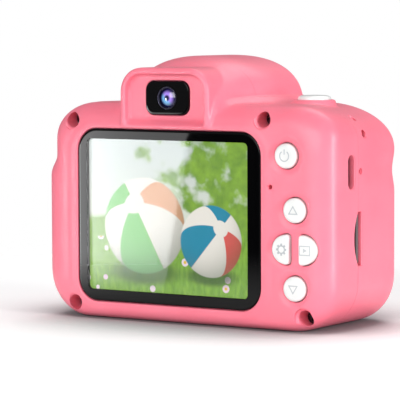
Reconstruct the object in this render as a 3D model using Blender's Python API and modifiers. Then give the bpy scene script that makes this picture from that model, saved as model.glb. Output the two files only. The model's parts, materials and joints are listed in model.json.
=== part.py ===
"""Toy digital camera with a round lens, a big hump and a screen on its back.

Metres, +Z up. The camera stands on Z = 0, its screen faces -Y and its lens faces +Y.
+X is to the right for someone who looks at the screen.
"""
import math

import bmesh
import bpy
from mathutils import Matrix, Vector

# Case
BODY_WIDTH = 0.0780
SHOULDER_Z = 0.0503
BODY_REAR_Y = -0.0217
BODY_DEPTH = 0.0334
REAR_TO_SEAM = 0.0127
WALL = 0.0020
REAR_WALL = 0.0022
FIT = 0.0003
BOTTOM_CORNER = 0.0108
TOP_CORNER_REAR = (0.0110, 0.0075)
TOP_CORNER_FRONT = (0.0180, 0.0100)
WAIST_LOW_Z = 0.0335
WAIST_HIGH_Z = 0.0385
WAIST_REAR = 0.0022
WAIST_FRONT = 0.0004
WAIST_START = 0.0055
WAIST_FADE = 0.0050
REAR_EDGE = (0.0066, 0.0022, 0.0053)
REAR_EDGE_DEPTH = 0.0050
FRONT_EDGE = (0.0055, 0.0030, 0.0045)
FRONT_EDGE_DEPTH = 0.0050

# Hump, viewfinder hood and lens share one upright axis
AXIS_X = -0.0041
HUMP_TOP_Z = 0.0610
HUMP_REAR_HALF = 0.0136
HUMP_HALF = 0.0185
HUMP_POWER = 2.3
HUMP_FOOT = 0.0050
HUMP_CREST = 0.0167
HUMP_START = 0.0009
HUMP_FRONT_ROUND = 0.0035
HUMP_SET_BACK = 0.0004
HOOD_WIDTH = 0.0242
HOOD_TOP_Z = 0.0585
HOOD_PROUD = 0.0008
HOOD_CORNER = 0.0055
HOOD_RIM = 0.0012
HOOD_RECESS = 0.0019
HOOD_WALL = 0.0016

# Screen
GLASS_LEFT = 0.0105
GLASS_RIGHT = 0.0178
GLASS_BOTTOM = 0.0043
GLASS_TOP = 0.0060
GLASS_CORNER = 0.0052
GLASS_THICKNESS = 0.0010
GLASS_SUNK = 0.0001
VIEW_MARGIN = 0.0027
PANEL_DEPTH = 0.0024
FRAME_MARGIN = 0.0011
FRAME_FLOOR = 0.0006

# Selfie window and camera
SELFIE_Z = 0.0516
SELFIE_WIDTH = 0.0117
SELFIE_HEIGHT = 0.0077
SELFIE_CORNER = 0.0022
SELFIE_THICKNESS = 0.0010
SELFIE_LENS_RADIUS = 0.0026

# Buttons on the back, measured from the right side of the case
KEY_FROM_RIGHT = 0.0090
POWER_FROM_RIGHT = 0.0112
KEY_RADIUS = 0.0028
KEY_PROUD = 0.0006
KEY_FLANGE = 0.0008
KEY_TRAVEL = 0.0005
POWER_Z = 0.0393
UP_Z = 0.0273
HALF_Z = 0.0186
DOWN_Z = 0.0099
HALF_GAP = 0.0025
HALF_WIDTH = 0.0045
HALF_HEIGHT = 0.0068
DISH = 0.0012
DISH_DEPTH = 0.0005

# Key switches
SWITCH_SIZE = 0.0040
SWITCH_HEIGHT = 0.0032
SWITCH_BORE = 0.0020
PLUNGER_RADIUS = 0.0011
PLUNGER_LENGTH = 0.0033

# Shutter
SHUTTER_FROM_RIGHT = 0.0143
SHUTTER_FROM_SEAM = 0.0052
SHUTTER_RADIUS = 0.0038
SHUTTER_TRAVEL = 0.0006
COLLAR_RADIUS = 0.0049
COLLAR_RISE = 0.0010
CAP_RISE = 0.0009
CAP_SINK = 0.0008
SHUTTER_BOARD_THICKNESS = 0.0012

# Boards and what they carry
BOARD_THICKNESS = 0.0012
BOARD_BEFORE_SEAM = 0.0003
BOARD_LEFT = 0.0055
BOARD_RIGHT = 0.0048
BOARD_LOW_Z = 0.0075
BOARD_HIGH = 0.0078
BATTERY_SIZE = (0.0340, 0.0048, 0.0260)
BATTERY_X = -0.0030
BATTERY_LOW_Z = 0.0100
TAPE_THICKNESS = 0.0003
CHIP_SIZE = 0.0100
CHIP_HEIGHT = 0.0012

# Side sockets
USB_Z = 0.0355
USB_HEIGHT = 0.0070
USB_DEPTH = 0.0027
USB_LENGTH = 0.0052
USB_INSET = 0.0016
USB_SKIN = 0.0004
CARD_Z = 0.02045
CARD_WIDTH = 0.0110
CARD_LENGTH = 0.0150
CARD_THICKNESS = 0.0008
CARD_INSET = 0.0007
CARD_PUSH = 0.0008
SLOT_HEIGHT = 0.0121
NOTCH_DEPTH = 0.0018
PIN_RADIUS = 0.0005

# Screws
SCREW_HEAD = 0.0016
SCREW_SHANK = 0.0008
WELL_RADIUS = 0.0019
WELL_DEPTH = 0.0057
BOSS_RADIUS = 0.0026
SCREW_GRIP = 0.0027

# Lens
LENS_Z = 0.0275
BARREL_RADIUS = 0.0190
FLANGE_STEP = 0.0015
BARREL_LENGTH = 0.0086
WINDOW_LEDGE = 0.0010
SPIGOT_STEP = 0.0025
WINDOW_RIM = 0.0038
WINDOW_THICKNESS = 0.0012
TRIM_RISE = 0.0019
CAMERA_SIZE = 0.0100
CAMERA_DEPTH = 0.0050
CABLE = 0.00025

# Flash
FLASH_Z = 0.0538
FLASH_WIDTH = 0.0150
FLASH_HEIGHT = 0.0056
FLASH_THICKNESS = 0.0012

# Speaker and microphone
SPEAKER_RADIUS = 0.0065
SPEAKER_DEPTH = 0.0040
SPEAKER_X = -0.0190
MIC_RADIUS = 0.0018
MIC_FROM_RIGHT = 0.0152
MIC_Z = 0.0323

# Strap tunnel
STRAP_RADIUS = 0.0009
STRAP_FROM_SEAM = 0.0034
STRAP_INSET = 0.0031
STRAP_Z = 0.0436

# Places that follow from the sizes
RIGHT_X = BODY_WIDTH / 2
FRONT_Y = BODY_REAR_Y + BODY_DEPTH
SEAM_Y = BODY_REAR_Y + REAR_TO_SEAM
HUMP_FRONT_Y = FRONT_Y - HUMP_SET_BACK
WAIST_Y = BODY_REAR_Y + WAIST_START
INNER_REAR_Y = BODY_REAR_Y + REAR_WALL
BOARD_FRONT_Y = SEAM_Y - BOARD_BEFORE_SEAM
BOARD_REAR_Y = BOARD_FRONT_Y - BOARD_THICKNESS
BOARD_TOP_Z = SHOULDER_Z - BOARD_HIGH
PLUNGER_TIP_Y = BOARD_REAR_Y - FIT - SWITCH_HEIGHT - PLUNGER_LENGTH
CARD_Y = BOARD_FRONT_Y + 0.0013
KEY_X = RIGHT_X - KEY_FROM_RIGHT
POWER_X = RIGHT_X - POWER_FROM_RIGHT
SHUTTER_X = RIGHT_X - SHUTTER_FROM_RIGHT
SHUTTER_Y = SEAM_Y + SHUTTER_FROM_SEAM
COLLAR_Z = SHOULDER_Z + COLLAR_RISE
HOOD_REAR_Y = BODY_REAR_Y - HOOD_PROUD
HOOD_FACE_Y = HOOD_REAR_Y + HOOD_RECESS
GLASS_WIDTH = BODY_WIDTH - GLASS_LEFT - GLASS_RIGHT
GLASS_HEIGHT = SHOULDER_Z - GLASS_TOP - GLASS_BOTTOM
GLASS_X = -RIGHT_X + GLASS_LEFT + GLASS_WIDTH / 2
GLASS_Z = GLASS_BOTTOM + GLASS_HEIGHT / 2
GLASS_Y = BODY_REAR_Y + GLASS_SUNK
POCKET_Y = GLASS_Y + GLASS_THICKNESS + FIT
VIEW_WIDTH = GLASS_WIDTH - 2 * VIEW_MARGIN
VIEW_HEIGHT = GLASS_HEIGHT - 1.6 * VIEW_MARGIN
WELL_FLOOR_Y = BODY_REAR_Y + WELL_DEPTH
BARREL_FLANGE = BARREL_RADIUS + FLANGE_STEP
LENS_HOLE = BARREL_RADIUS - SPIGOT_STEP
WINDOW_RADIUS = BARREL_RADIUS - WINDOW_RIM
BARREL_BORE = WINDOW_RADIUS - WINDOW_LEDGE
# Screw centres, and how far the front boss behind each one runs past the seam
SCREW_PLACES = (
    (-RIGHT_X + 0.0084, SHOULDER_Z - 0.0041, 0.0080),
    (RIGHT_X - 0.0174, SHOULDER_Z - 0.0031, 0.0033),
    (-RIGHT_X + 0.0091, 0.0034, 0.0080),
    (RIGHT_X - 0.0068, 0.0034, 0.0080),
)
BOARD_SCREW_PLACES = (
    (-RIGHT_X + 0.0080, BOARD_TOP_Z - 0.0045),
    (RIGHT_X - 0.0160, BOARD_LOW_Z + 0.0025),
)

for leftover in list(bpy.data.objects):
    bpy.data.objects.remove(leftover, do_unlink=True)

PARTS = bpy.data.collections.new("toy_camera")
CUTTERS = bpy.data.collections.new("cutters")
for collection in (PARTS, CUTTERS):
    bpy.context.scene.collection.children.link(collection)


def material(name, colour, roughness, metallic=0.0):
    """One Principled material."""
    made = bpy.data.materials.new(name)
    made.use_nodes = True
    shader = made.node_tree.nodes["Principled BSDF"]
    shader.inputs["Base Color"].default_value = (*colour, 1.0)
    shader.inputs["Roughness"].default_value = roughness
    shader.inputs["Metallic"].default_value = metallic
    return made


PINK = material("pink_plastic", (0.95, 0.34, 0.43), 0.35)
WHITE = material("white_plastic", (0.90, 0.88, 0.87), 0.30)
BLACK = material("black_plastic", (0.015, 0.015, 0.017), 0.40)
GLASS = material("dark_glass", (0.01, 0.01, 0.012), 0.05)
LENS = material("lens_glass", (0.03, 0.02, 0.08), 0.05)
PICTURE = material("display_panel", (0.45, 0.55, 0.50), 0.20)
STEEL = material("steel", (0.55, 0.55, 0.56), 0.35, 1.0)
BOARD = material("circuit_board", (0.02, 0.16, 0.08), 0.45)
CABLE_FILM = material("cable_film", (0.45, 0.20, 0.04), 0.40)
CELL = material("battery_foil", (0.62, 0.63, 0.65), 0.35, 0.8)
TAPE = material("foam_tape", (0.85, 0.84, 0.80), 0.80)
RED = material("red_lead", (0.60, 0.03, 0.03), 0.45)
DIFFUSER = material("flash_diffuser", (0.90, 0.91, 0.90), 0.25)


def add(name, mesh, finish=None, collection=PARTS):
    """Object from a mesh; without a finish it is a helper that is left out of the model."""
    made = bpy.data.objects.new(name, mesh)
    collection.objects.link(made)
    if finish is None:
        made.hide_render = True
        made.display_type = "WIRE"
    else:
        mesh.materials.clear()
        mesh.materials.append(finish)
    return made


def from_bmesh(name, shape, finish=None):
    """Close a bmesh into an object with its faces pointing out."""
    bmesh.ops.recalc_face_normals(shape, faces=shape.faces)
    mesh = bpy.data.meshes.new(name)
    shape.to_mesh(mesh)
    shape.free()
    return add(name, mesh, finish, CUTTERS if finish is None else PARTS)


def box(name, low, high, finish=None, bevel=0.0):
    """Block between two corners, with its edges bevelled if asked."""
    low = Vector(low)
    high = Vector(high)
    shape = bmesh.new()
    bmesh.ops.create_cube(shape, size=1.0)
    bmesh.ops.scale(shape, vec=high - low, verts=shape.verts)
    bmesh.ops.translate(shape, vec=(low + high) / 2, verts=shape.verts)
    if bevel:
        bmesh.ops.bevel(shape, geom=shape.edges, offset=bevel, segments=1, affect="EDGES")
    return from_bmesh(name, shape, finish)


# Turn of a piece whose own +Z points out of the named side
FACING = {
    "up": Matrix.Identity(4),
    "down": Matrix.Rotation(math.pi, 4, "X"),
    "back": Matrix.Rotation(math.pi / 2, 4, "X"),
    "front": Matrix.Rotation(-math.pi / 2, 4, "X"),
    "right": Matrix.Rotation(math.pi / 2, 4, "Y"),
}


def place(made, facing, location):
    """Turn an object to its side and set it at its place."""
    made.matrix_world = Matrix.Translation(location) @ FACING[facing]
    return made


def rod(name, radius, low, high, facing, location, finish=None, segments=20, tip=None):
    """Cylinder or cone along its own Z from low to high."""
    shape = bmesh.new()
    bmesh.ops.create_cone(
        shape,
        cap_ends=True,
        segments=segments,
        radius1=radius,
        radius2=radius if tip is None else tip,
        depth=high - low,
    )
    bmesh.ops.translate(shape, vec=(0, 0, (low + high) / 2), verts=shape.verts)
    return place(from_bmesh(name, shape, finish), facing, location)


def turned(name, profile, facing, location, finish, steps=32, ring=False):
    """Turned piece: (radius, height) points that run down its outer side."""
    mesh = bpy.data.meshes.new(name)
    edges = [(index, index + 1) for index in range(len(profile) - 1)]
    if ring:
        edges.append((len(profile) - 1, 0))
    mesh.from_pydata([(radius, 0, height) for radius, height in profile], edges, [])
    made = add(name, mesh, finish)
    screw = made.modifiers.new("turn", "SCREW")
    screw.steps = steps
    screw.render_steps = steps
    screw.use_merge_vertices = True
    screw.merge_threshold = 0.000001
    screw.use_smooth_shade = True
    return place(made, facing, location)


def flat(name, outline, low, high, facing, location, finish=None):
    """Plate with a drawn outline, from low to high along its own Z."""
    curve = bpy.data.curves.new(name, "CURVE")
    curve.dimensions = "2D"
    curve.fill_mode = "BOTH"
    curve.extrude = (high - low) / 2
    spline = curve.splines.new("POLY")
    spline.points.add(len(outline) - 1)
    spline.use_cyclic_u = True
    for point, (across, up) in zip(spline.points, outline):
        point.co = (across, up, 0, 1)
    guide = bpy.data.objects.new(name + "_outline", curve)
    bpy.context.scene.collection.objects.link(guide)
    guide_mesh = bpy.data.meshes.new_from_object(
        guide.evaluated_get(bpy.context.evaluated_depsgraph_get())
    )
    bpy.data.objects.remove(guide, do_unlink=True)
    shape = bmesh.new()
    shape.from_mesh(guide_mesh)
    bmesh.ops.remove_doubles(shape, verts=shape.verts, dist=0.000001)
    bmesh.ops.translate(shape, vec=(0, 0, (low + high) / 2), verts=shape.verts)
    return place(from_bmesh(name, shape, finish), facing, location)


def strip(name, path, width, finish):
    """Flat cable: a bent ribbon in the YZ plane, centred on the axis of the lens."""
    shape = bmesh.new()
    corners = [shape.verts.new((AXIS_X - width / 2, y, z)) for y, z in path]
    edges = [shape.edges.new(pair) for pair in zip(corners, corners[1:])]
    swept = bmesh.ops.extrude_edge_only(shape, edges=edges)
    moved = [item for item in swept["geom"] if isinstance(item, bmesh.types.BMVert)]
    bmesh.ops.translate(shape, vec=(width, 0, 0), verts=moved)
    made = from_bmesh(name, shape, finish)
    thick = made.modifiers.new("thickness", "SOLIDIFY")
    thick.thickness = CABLE
    thick.offset = 0.0
    return made


def wire(name, path, radius, finish):
    """Round lead along a path of straight runs."""
    curve = bpy.data.curves.new(name, "CURVE")
    curve.dimensions = "3D"
    curve.bevel_depth = radius
    curve.bevel_resolution = 1
    curve.use_fill_caps = True
    spline = curve.splines.new("POLY")
    spline.points.add(len(path) - 1)
    for point, place_at in zip(spline.points, path):
        point.co = (*place_at, 1)
    made = bpy.data.objects.new(name, curve)
    curve.materials.append(finish)
    PARTS.objects.link(made)
    return made


def boolean(target, operation, tools):
    """Join, cut or keep what is inside, one tool after another."""
    for tool in tools:
        change = target.modifiers.new(tool.name, "BOOLEAN")
        change.operation = operation
        change.object = tool
    return target


def arc(centre, radius, start, end, steps):
    """Points of a circular arc, angles in degrees."""
    points = []
    for step in range(steps + 1):
        angle = math.radians(start + (end - start) * step / steps)
        points.append((centre[0] + radius * math.cos(angle), centre[1] + radius * math.sin(angle)))
    return points


def rounded(width, height, corner, steps=5):
    """Rectangle about the origin with rounded corners."""
    across = width / 2 - corner
    up = height / 2 - corner
    points = []
    for start, centre in enumerate(((across, up), (-across, up), (-across, -up), (across, -up))):
        points += arc(centre, corner, 90 * start, 90 * start + 90, steps)
    return points


def mirrored(half):
    """Closed outline from its right half, listed from the bottom to the top."""
    return half + [(-x, z) for x, z in reversed(half)]


def smooth(value):
    """Soft step from 0 to 1."""
    value = min(max(value, 0.0), 1.0)
    return value * value * (3 - 2 * value)


def loft(name, loops):
    """Skin over a row of loops that have the same number of points."""
    shape = bmesh.new()
    rings = [[shape.verts.new(point) for point in loop] for loop in loops]
    for ring, following in zip(rings, rings[1:]):
        for index in range(len(ring)):
            after = (index + 1) % len(ring)
            shape.faces.new((ring[index], ring[after], following[after], following[index]))
    bmesh.ops.triangulate(shape, faces=shape.faces)
    ends = [shape.faces.new(rings[0]), shape.faces.new(rings[-1])]
    bmesh.ops.poke(shape, faces=ends)
    return from_bmesh(name, shape)


def waist(y):
    """How far the upper sides step in at a given depth."""
    return WAIST_REAR + (WAIST_FRONT - WAIST_REAR) * smooth((y - WAIST_Y) / WAIST_FADE)


def top_corner(y):
    """Width and height of the upper corners, which are softer towards the front."""
    start = BODY_REAR_Y + REAR_EDGE_DEPTH
    part = smooth((y - start) / (FRONT_Y - FRONT_EDGE_DEPTH - start))
    return [rear + (front - rear) * part for rear, front in zip(TOP_CORNER_REAR, TOP_CORNER_FRONT)]


def body_section(y, inset, edge, shrink):
    """Outline of the case at a depth, drawn in by the edge rounding."""
    half_width = RIGHT_X - inset
    step_in = waist(y) * (1 - shrink)
    half = arc((RIGHT_X - BOTTOM_CORNER, BOTTOM_CORNER), BOTTOM_CORNER - inset, -90, 0, 5)
    for part in (0.0, 0.35, 0.65, 1.0):
        z = WAIST_LOW_Z + (WAIST_HIGH_Z - WAIST_LOW_Z) * part
        half.append((half_width - step_in * smooth(part), z))
    wide, high = top_corner(y)
    for across, up in arc((0, 0), 1.0, 0, 90, 7):
        x = RIGHT_X - step_in - wide + (wide - inset) * across
        half.append((x, SHOULDER_Z - high + (high - inset) * up))
    narrow = (half_width - edge[0] * shrink) / half_width
    low = inset + edge[1] * shrink
    high = SHOULDER_Z - inset - edge[2] * shrink
    squeeze = (high - low) / (SHOULDER_Z - 2 * inset)
    return [Vector((x * narrow, y, low + (z - inset) * squeeze)) for x, z in mirrored(half)]


def body_loops(inset, rear_y, front_y):
    """Sections of the case from its back to its front."""
    rear_edge = [max(size - inset, FIT) for size in REAR_EDGE]
    front_edge = [max(size - inset, FIT) for size in FRONT_EDGE]
    rear_depth = max(REAR_EDGE_DEPTH - inset, FIT)
    front_depth = max(FRONT_EDGE_DEPTH - inset, FIT)
    loops = []
    for step in range(6):
        angle = math.pi / 2 * step / 5
        y = rear_y + rear_depth * (1 - math.cos(angle))
        loops.append(body_section(y, inset, rear_edge, 1 - math.sin(angle)))
    for part in (0.0, 0.5, 1.0):
        loops.append(body_section(WAIST_Y + WAIST_FADE * part, inset, rear_edge, 0.0))
    begin, end = WAIST_Y + WAIST_FADE, front_y - front_depth
    for part in (0.33, 0.67):
        loops.append(body_section(begin + (end - begin) * part, inset, rear_edge, 0.0))
    for step in range(5, -1, -1):
        angle = math.pi / 2 * step / 5
        y = front_y - front_depth * (1 - math.cos(angle))
        loops.append(body_section(y, inset, front_edge, 1 - math.sin(angle)))
    return loops


def body_top(y):
    """Height of the shoulder at a depth, which falls towards the back and the front."""
    back = min(max((BODY_REAR_Y + REAR_EDGE_DEPTH - y) / REAR_EDGE_DEPTH, 0.0), 1.0)
    ahead = min(max((y - FRONT_Y + FRONT_EDGE_DEPTH) / FRONT_EDGE_DEPTH, 0.0), 1.0)
    fall = REAR_EDGE[2] * (1 - math.sqrt(1 - back * back))
    return SHOULDER_Z - fall - FRONT_EDGE[2] * (1 - math.sqrt(1 - ahead * ahead))


def corner_fall(x, y):
    """How far the shoulder has fallen at a place because of its rounded corner."""
    wide, high = top_corner(y)
    past = min(max((abs(x) - RIGHT_X + waist(y) + wide) / wide, 0.0), 1.0)
    return high * (1 - math.sqrt(1 - past * past))


def hump_section(y, top, foot, half, inset):
    """Outline of the hump at a depth: a crowned arch with a small fillet at its foot."""
    half -= inset
    rise = top - foot
    fillet = min(HUMP_FOOT, rise * 0.4)
    outline = [(half + fillet, foot - 0.006)]
    outline += arc((half + fillet, foot + fillet), fillet, 270, 216, 2)
    for step in range(1, 11):
        angle = math.pi / 2 * step / 10
        x = half * max(math.cos(angle), 0.0) ** (2 / HUMP_POWER)
        outline.append((x, foot + rise * math.sin(angle) ** (2 / HUMP_POWER)))
    outline[-1] = (half * 0.04, top)
    points = []
    for x, z in mirrored(outline):
        sunk = corner_fall(AXIS_X + x, y) if z < foot + fillet else 0.0
        points.append(Vector((AXIS_X + x, y, z - sunk)))
    return points


def hump_loops(inset):
    """Sections of the hump from its rear slope to its front."""
    start = BODY_REAR_Y + HUMP_START
    crest = BODY_REAR_Y + HUMP_CREST
    low = body_top(start)
    spread = HUMP_HALF - HUMP_REAR_HALF
    front = HUMP_FRONT_Y - inset
    stations = []
    for step in range(1, 8):
        angle = math.pi / 2 * step / 7
        y = crest - HUMP_CREST * math.cos(angle) + HUMP_START * math.cos(angle)
        top = low + (HUMP_TOP_Z - low) * math.sin(angle)
        stations.append((y + inset * math.cos(angle), top - inset * max(math.sin(angle), 0.5), 0.0))
    stations.append((crest + 0.005, HUMP_TOP_Z - inset, 0.0))
    for step in range(4):
        angle = math.pi / 2 * (3 - step) / 3
        draw = HUMP_FRONT_ROUND * (1 - math.sin(angle))
        y = front - HUMP_FRONT_ROUND * (1 - math.cos(angle))
        stations.append((y, HUMP_TOP_Z - inset - draw, draw))
    loops = []
    for y, top, draw in stations:
        half = HUMP_REAR_HALF + spread * smooth((y - start) / (crest + 0.005 - start)) - draw
        foot = min(body_top(y), top - 0.0012)
        loops.append(hump_section(y, top, foot - inset, half, inset))
    return loops


def hood_outline(inset, low):
    """Arch of the viewfinder hood about the lens axis, from a low edge up."""
    half = HOOD_WIDTH / 2 - inset
    corner = HOOD_CORNER - inset
    right = [(half, low)]
    right += arc((half - corner, HOOD_TOP_Z - inset - corner), corner, 0, 90, 5)
    return mirrored(right)


def key_outline(grow, side):
    """Half-moon key about the middle of the pair, its flat side to the centre line."""
    points = []
    for step in range(13):
        angle = math.radians(-90 + 15 * step)
        across = HALF_GAP / 2
        if 0 < step < 12:
            across += (HALF_WIDTH + grow) * math.cos(angle) ** 0.85
        points.append((side * across, (HALF_HEIGHT / 2 + grow) * math.sin(angle)))
    return points if side > 0 else points[::-1]


# Case shells: one skin and one hollow, parted at the seam
def outer_skin(name):
    """Closed outside of the case without any openings."""
    skin = loft(name, body_loops(0.0, BODY_REAR_Y, FRONT_Y))
    hump = loft(name + "_hump", hump_loops(0.0))
    hood = flat(
        name + "_hood",
        hood_outline(0.0, SHOULDER_Z - 0.0055),
        -0.0105,
        0.0,
        "back",
        (AXIS_X, HOOD_REAR_Y, 0),
    )
    collar = rod(
        name + "_collar",
        COLLAR_RADIUS,
        -0.0018,
        COLLAR_RISE,
        "up",
        (SHUTTER_X, SHUTTER_Y, SHOULDER_Z),
        segments=28,
        tip=COLLAR_RADIUS - 0.0003,
    )
    return boolean(skin, "UNION", (hump, hood, collar))


def hollow(name):
    """Space inside the case, less the bosses and blocks that stand in it."""
    space = loft(name, body_loops(WALL, INNER_REAR_Y, FRONT_Y - WALL))
    hump = loft(name + "_hump", hump_loops(WALL))
    hood = flat(
        name + "_hood",
        hood_outline(HOOD_WALL, SHOULDER_Z - 0.0030),
        -0.0085,
        -HOOD_RECESS - HOOD_WALL,
        "back",
        (AXIS_X, HOOD_REAR_Y, 0),
    )
    boolean(space, "UNION", (hump, hood))
    blocks = []
    for index, (x, z, past_seam) in enumerate(SCREW_PLACES):
        far = -(SEAM_Y + past_seam - BODY_REAR_Y)
        blocks.append(rod(f"{name}_boss_{index}", BOSS_RADIUS, far, 0.002, "back", (x, BODY_REAR_Y, z)))
    for index, (x, z) in enumerate(BOARD_SCREW_PLACES):
        far = -(BOARD_REAR_Y - FIT - BODY_REAR_Y)
        blocks.append(rod(f"{name}_post_{index}", 0.0016, far, -0.001, "back", (x, BODY_REAR_Y, z), None, 16))
    blocks.append(
        box(
            name + "_strap_block",
            (RIGHT_X - 0.0052, SEAM_Y, STRAP_Z - 0.0022),
            (RIGHT_X + 0.002, SEAM_Y + STRAP_FROM_SEAM + 0.0022, SHOULDER_Z + 0.001),
        )
    )
    blocks.append(
        box(
            name + "_shelf",
            (SHUTTER_X - 0.0054, SHUTTER_Y - 0.0040, SHELF_Z - 0.0015),
            (SHUTTER_X + 0.0054, FRONT_Y - 0.0005, SHELF_Z),
        )
    )
    return boolean(space, "DIFFERENCE", blocks)


# Shutter heights, from the cap down to the shelf that carries its board
CAP_LOW_Z = COLLAR_Z - CAP_SINK
CAP_FLOOR_Z = CAP_LOW_Z - SHUTTER_TRAVEL - 0.0001
SHUTTER_TIP_Z = SHOULDER_Z - WALL - 0.0024
SHUTTER_SWITCH_Z = SHUTTER_TIP_Z - PLUNGER_LENGTH - SWITCH_HEIGHT
SHELF_Z = SHUTTER_SWITCH_Z - FIT - SHUTTER_BOARD_THICKNESS - FIT
SHUTTER_AT = (SHUTTER_X, SHUTTER_Y, COLLAR_Z)

HOLLOW = hollow("hollow")
BIG = 0.1
REAR_HALF = box("rear_half", (-BIG, -BIG, -BIG), (BIG, SEAM_Y - FIT / 2, BIG))
FRONT_HALF = box("front_half", (-BIG, SEAM_Y + FIT / 2, -BIG), (BIG, BIG, BIG))

USB_X = RIGHT_X - USB_INSET
USB_HIGH_Y = BOARD_REAR_Y - FIT
USB_MID_Y = USB_HIGH_Y - USB_DEPTH / 2
SLOT_Y = CARD_Y + CARD_THICKNESS / 2 + FIT


def side_notch(name):
    """D-shaped opening for the card: a straight slot with a thumb notch behind it."""
    low = SLOT_HEIGHT / 2
    chord_y = CARD_Y - CARD_THICKNESS / 2 - FIT
    radius = (low * low + NOTCH_DEPTH * NOTCH_DEPTH) / (2 * NOTCH_DEPTH)
    half_angle = math.degrees(math.asin(low / radius))
    curve = arc((0, chord_y + radius - NOTCH_DEPTH), radius, 270 - half_angle, 270 + half_angle, 10)
    outline = [(low, SLOT_Y), (-low, SLOT_Y)] + curve
    return flat(name, outline, -0.0040, 0.0030, "right", (RIGHT_X, 0, CARD_Z))


def strap_side(y):
    """Right side of the case at the strap tunnel."""
    return RIGHT_X - waist(y)


STRAP_Y = SEAM_Y + STRAP_FROM_SEAM
STRAP_X = strap_side(STRAP_Y) - STRAP_INSET
STRAP_LOW_Z = STRAP_Z - 1.3 * STRAP_RADIUS
STRAP_OUT = RIGHT_X + SHOULDER_Z
ROUND_KEYS = (
    ("power", POWER_X, POWER_Z),
    ("up", KEY_X, UP_Z),
    ("down", KEY_X, DOWN_Z),
)
DISH_RADIUS = KEY_RADIUS + FIT + 2 * DISH
HALF_KEYS = (("settings", -1), ("playback", 1))
HALF_REACH = HALF_GAP / 2 + HALF_WIDTH * 0.45
FLANGE_HIGH = -REAR_WALL - FIT
FLANGE_LOW = FLANGE_HIGH - 0.0010
STEM_END = -(PLUNGER_TIP_Y - FIT - BODY_REAR_Y)

rear_shell = outer_skin("rear_shell")
rear_cuts = [
    flat(
        "screen_pocket",
        rounded(GLASS_WIDTH + 2 * FIT, GLASS_HEIGHT + 2 * FIT, GLASS_CORNER + FIT),
        BODY_REAR_Y - POCKET_Y,
        0.005,
        "back",
        (GLASS_X, BODY_REAR_Y, GLASS_Z),
    ),
    flat(
        "screen_opening",
        rounded(VIEW_WIDTH + 2 * FIT, VIEW_HEIGHT + 2 * FIT, 0.0008, 2),
        -0.006,
        0.001,
        "back",
        (GLASS_X, BODY_REAR_Y, GLASS_Z),
    ),
    flat(
        "hood_recess",
        hood_outline(HOOD_RIM, SHOULDER_Z - 0.0049),
        -HOOD_RECESS,
        0.005,
        "back",
        (AXIS_X, HOOD_REAR_Y, 0),
    ),
    flat(
        "selfie_pocket",
        rounded(SELFIE_WIDTH + 2 * FIT, SELFIE_HEIGHT + 2 * FIT, SELFIE_CORNER + FIT, 3),
        -0.0010,
        0.001,
        "back",
        (AXIS_X, HOOD_FACE_Y, SELFIE_Z),
    ),
    rod("selfie_hole", SELFIE_LENS_RADIUS + FIT, -0.004, 0.001, "back", (AXIS_X, HOOD_FACE_Y, SELFIE_Z)),
    rod("mic_hole", 0.0005, -0.005, 0.002, "back", (RIGHT_X - MIC_FROM_RIGHT, BODY_REAR_Y, MIC_Z), None, 8),
    flat(
        "usb_slot",
        rounded(USB_HEIGHT + 2 * FIT, USB_DEPTH + 2 * FIT, (USB_DEPTH + 2 * FIT) * 0.45, 4),
        -0.0055,
        0.003,
        "right",
        (RIGHT_X, USB_MID_Y, USB_Z),
    ),
    side_notch("rear_notch"),
]
for key, x, z in ROUND_KEYS:
    spot = (x, BODY_REAR_Y, z)
    rear_cuts.append(
        rod(key + "_dish", KEY_RADIUS + FIT, -DISH_DEPTH, DISH_DEPTH, "back", spot, None, 24, DISH_RADIUS)
    )
    rear_cuts.append(rod(key + "_hole", KEY_RADIUS + FIT, -0.006, 0.002, "back", spot, None, 24))
for key, side in HALF_KEYS:
    spot = (KEY_X, BODY_REAR_Y, HALF_Z)
    grown = []
    for x, z in key_outline(FIT, side):
        straight = abs(abs(x) - HALF_GAP / 2) < 1e-6
        grown.append((x - side * FIT if straight else x, z))
    rear_cuts.append(flat(key + "_hole", grown, -0.006, 0.002, "back", spot))
    relief = key_outline(KEY_FLANGE + FIT, side)
    rear_cuts.append(flat(key + "_relief", relief, FLANGE_LOW - KEY_TRAVEL - FIT, -REAR_WALL, "back", spot))
for index, (x, z, past_seam) in enumerate(SCREW_PLACES):
    spot = (x, BODY_REAR_Y, z)
    rear_cuts.append(rod(f"well_{index}", WELL_RADIUS, -WELL_DEPTH, 0.004, "back", spot))
    rear_cuts.append(rod(f"shank_hole_{index}", SCREW_SHANK + FIT, -0.020, 0.0, "back", spot, None, 12))
for index, (x, z) in enumerate(BOARD_SCREW_PLACES):
    spot = (x, BOARD_REAR_Y - FIT, z)
    rear_cuts.append(rod(f"post_hole_{index}", 0.0009, -0.001, 0.0065, "back", spot, None, 10))
boolean(rear_shell, "DIFFERENCE", [HOLLOW])
boolean(rear_shell, "INTERSECT", [REAR_HALF])
boolean(rear_shell, "DIFFERENCE", rear_cuts)

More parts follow.
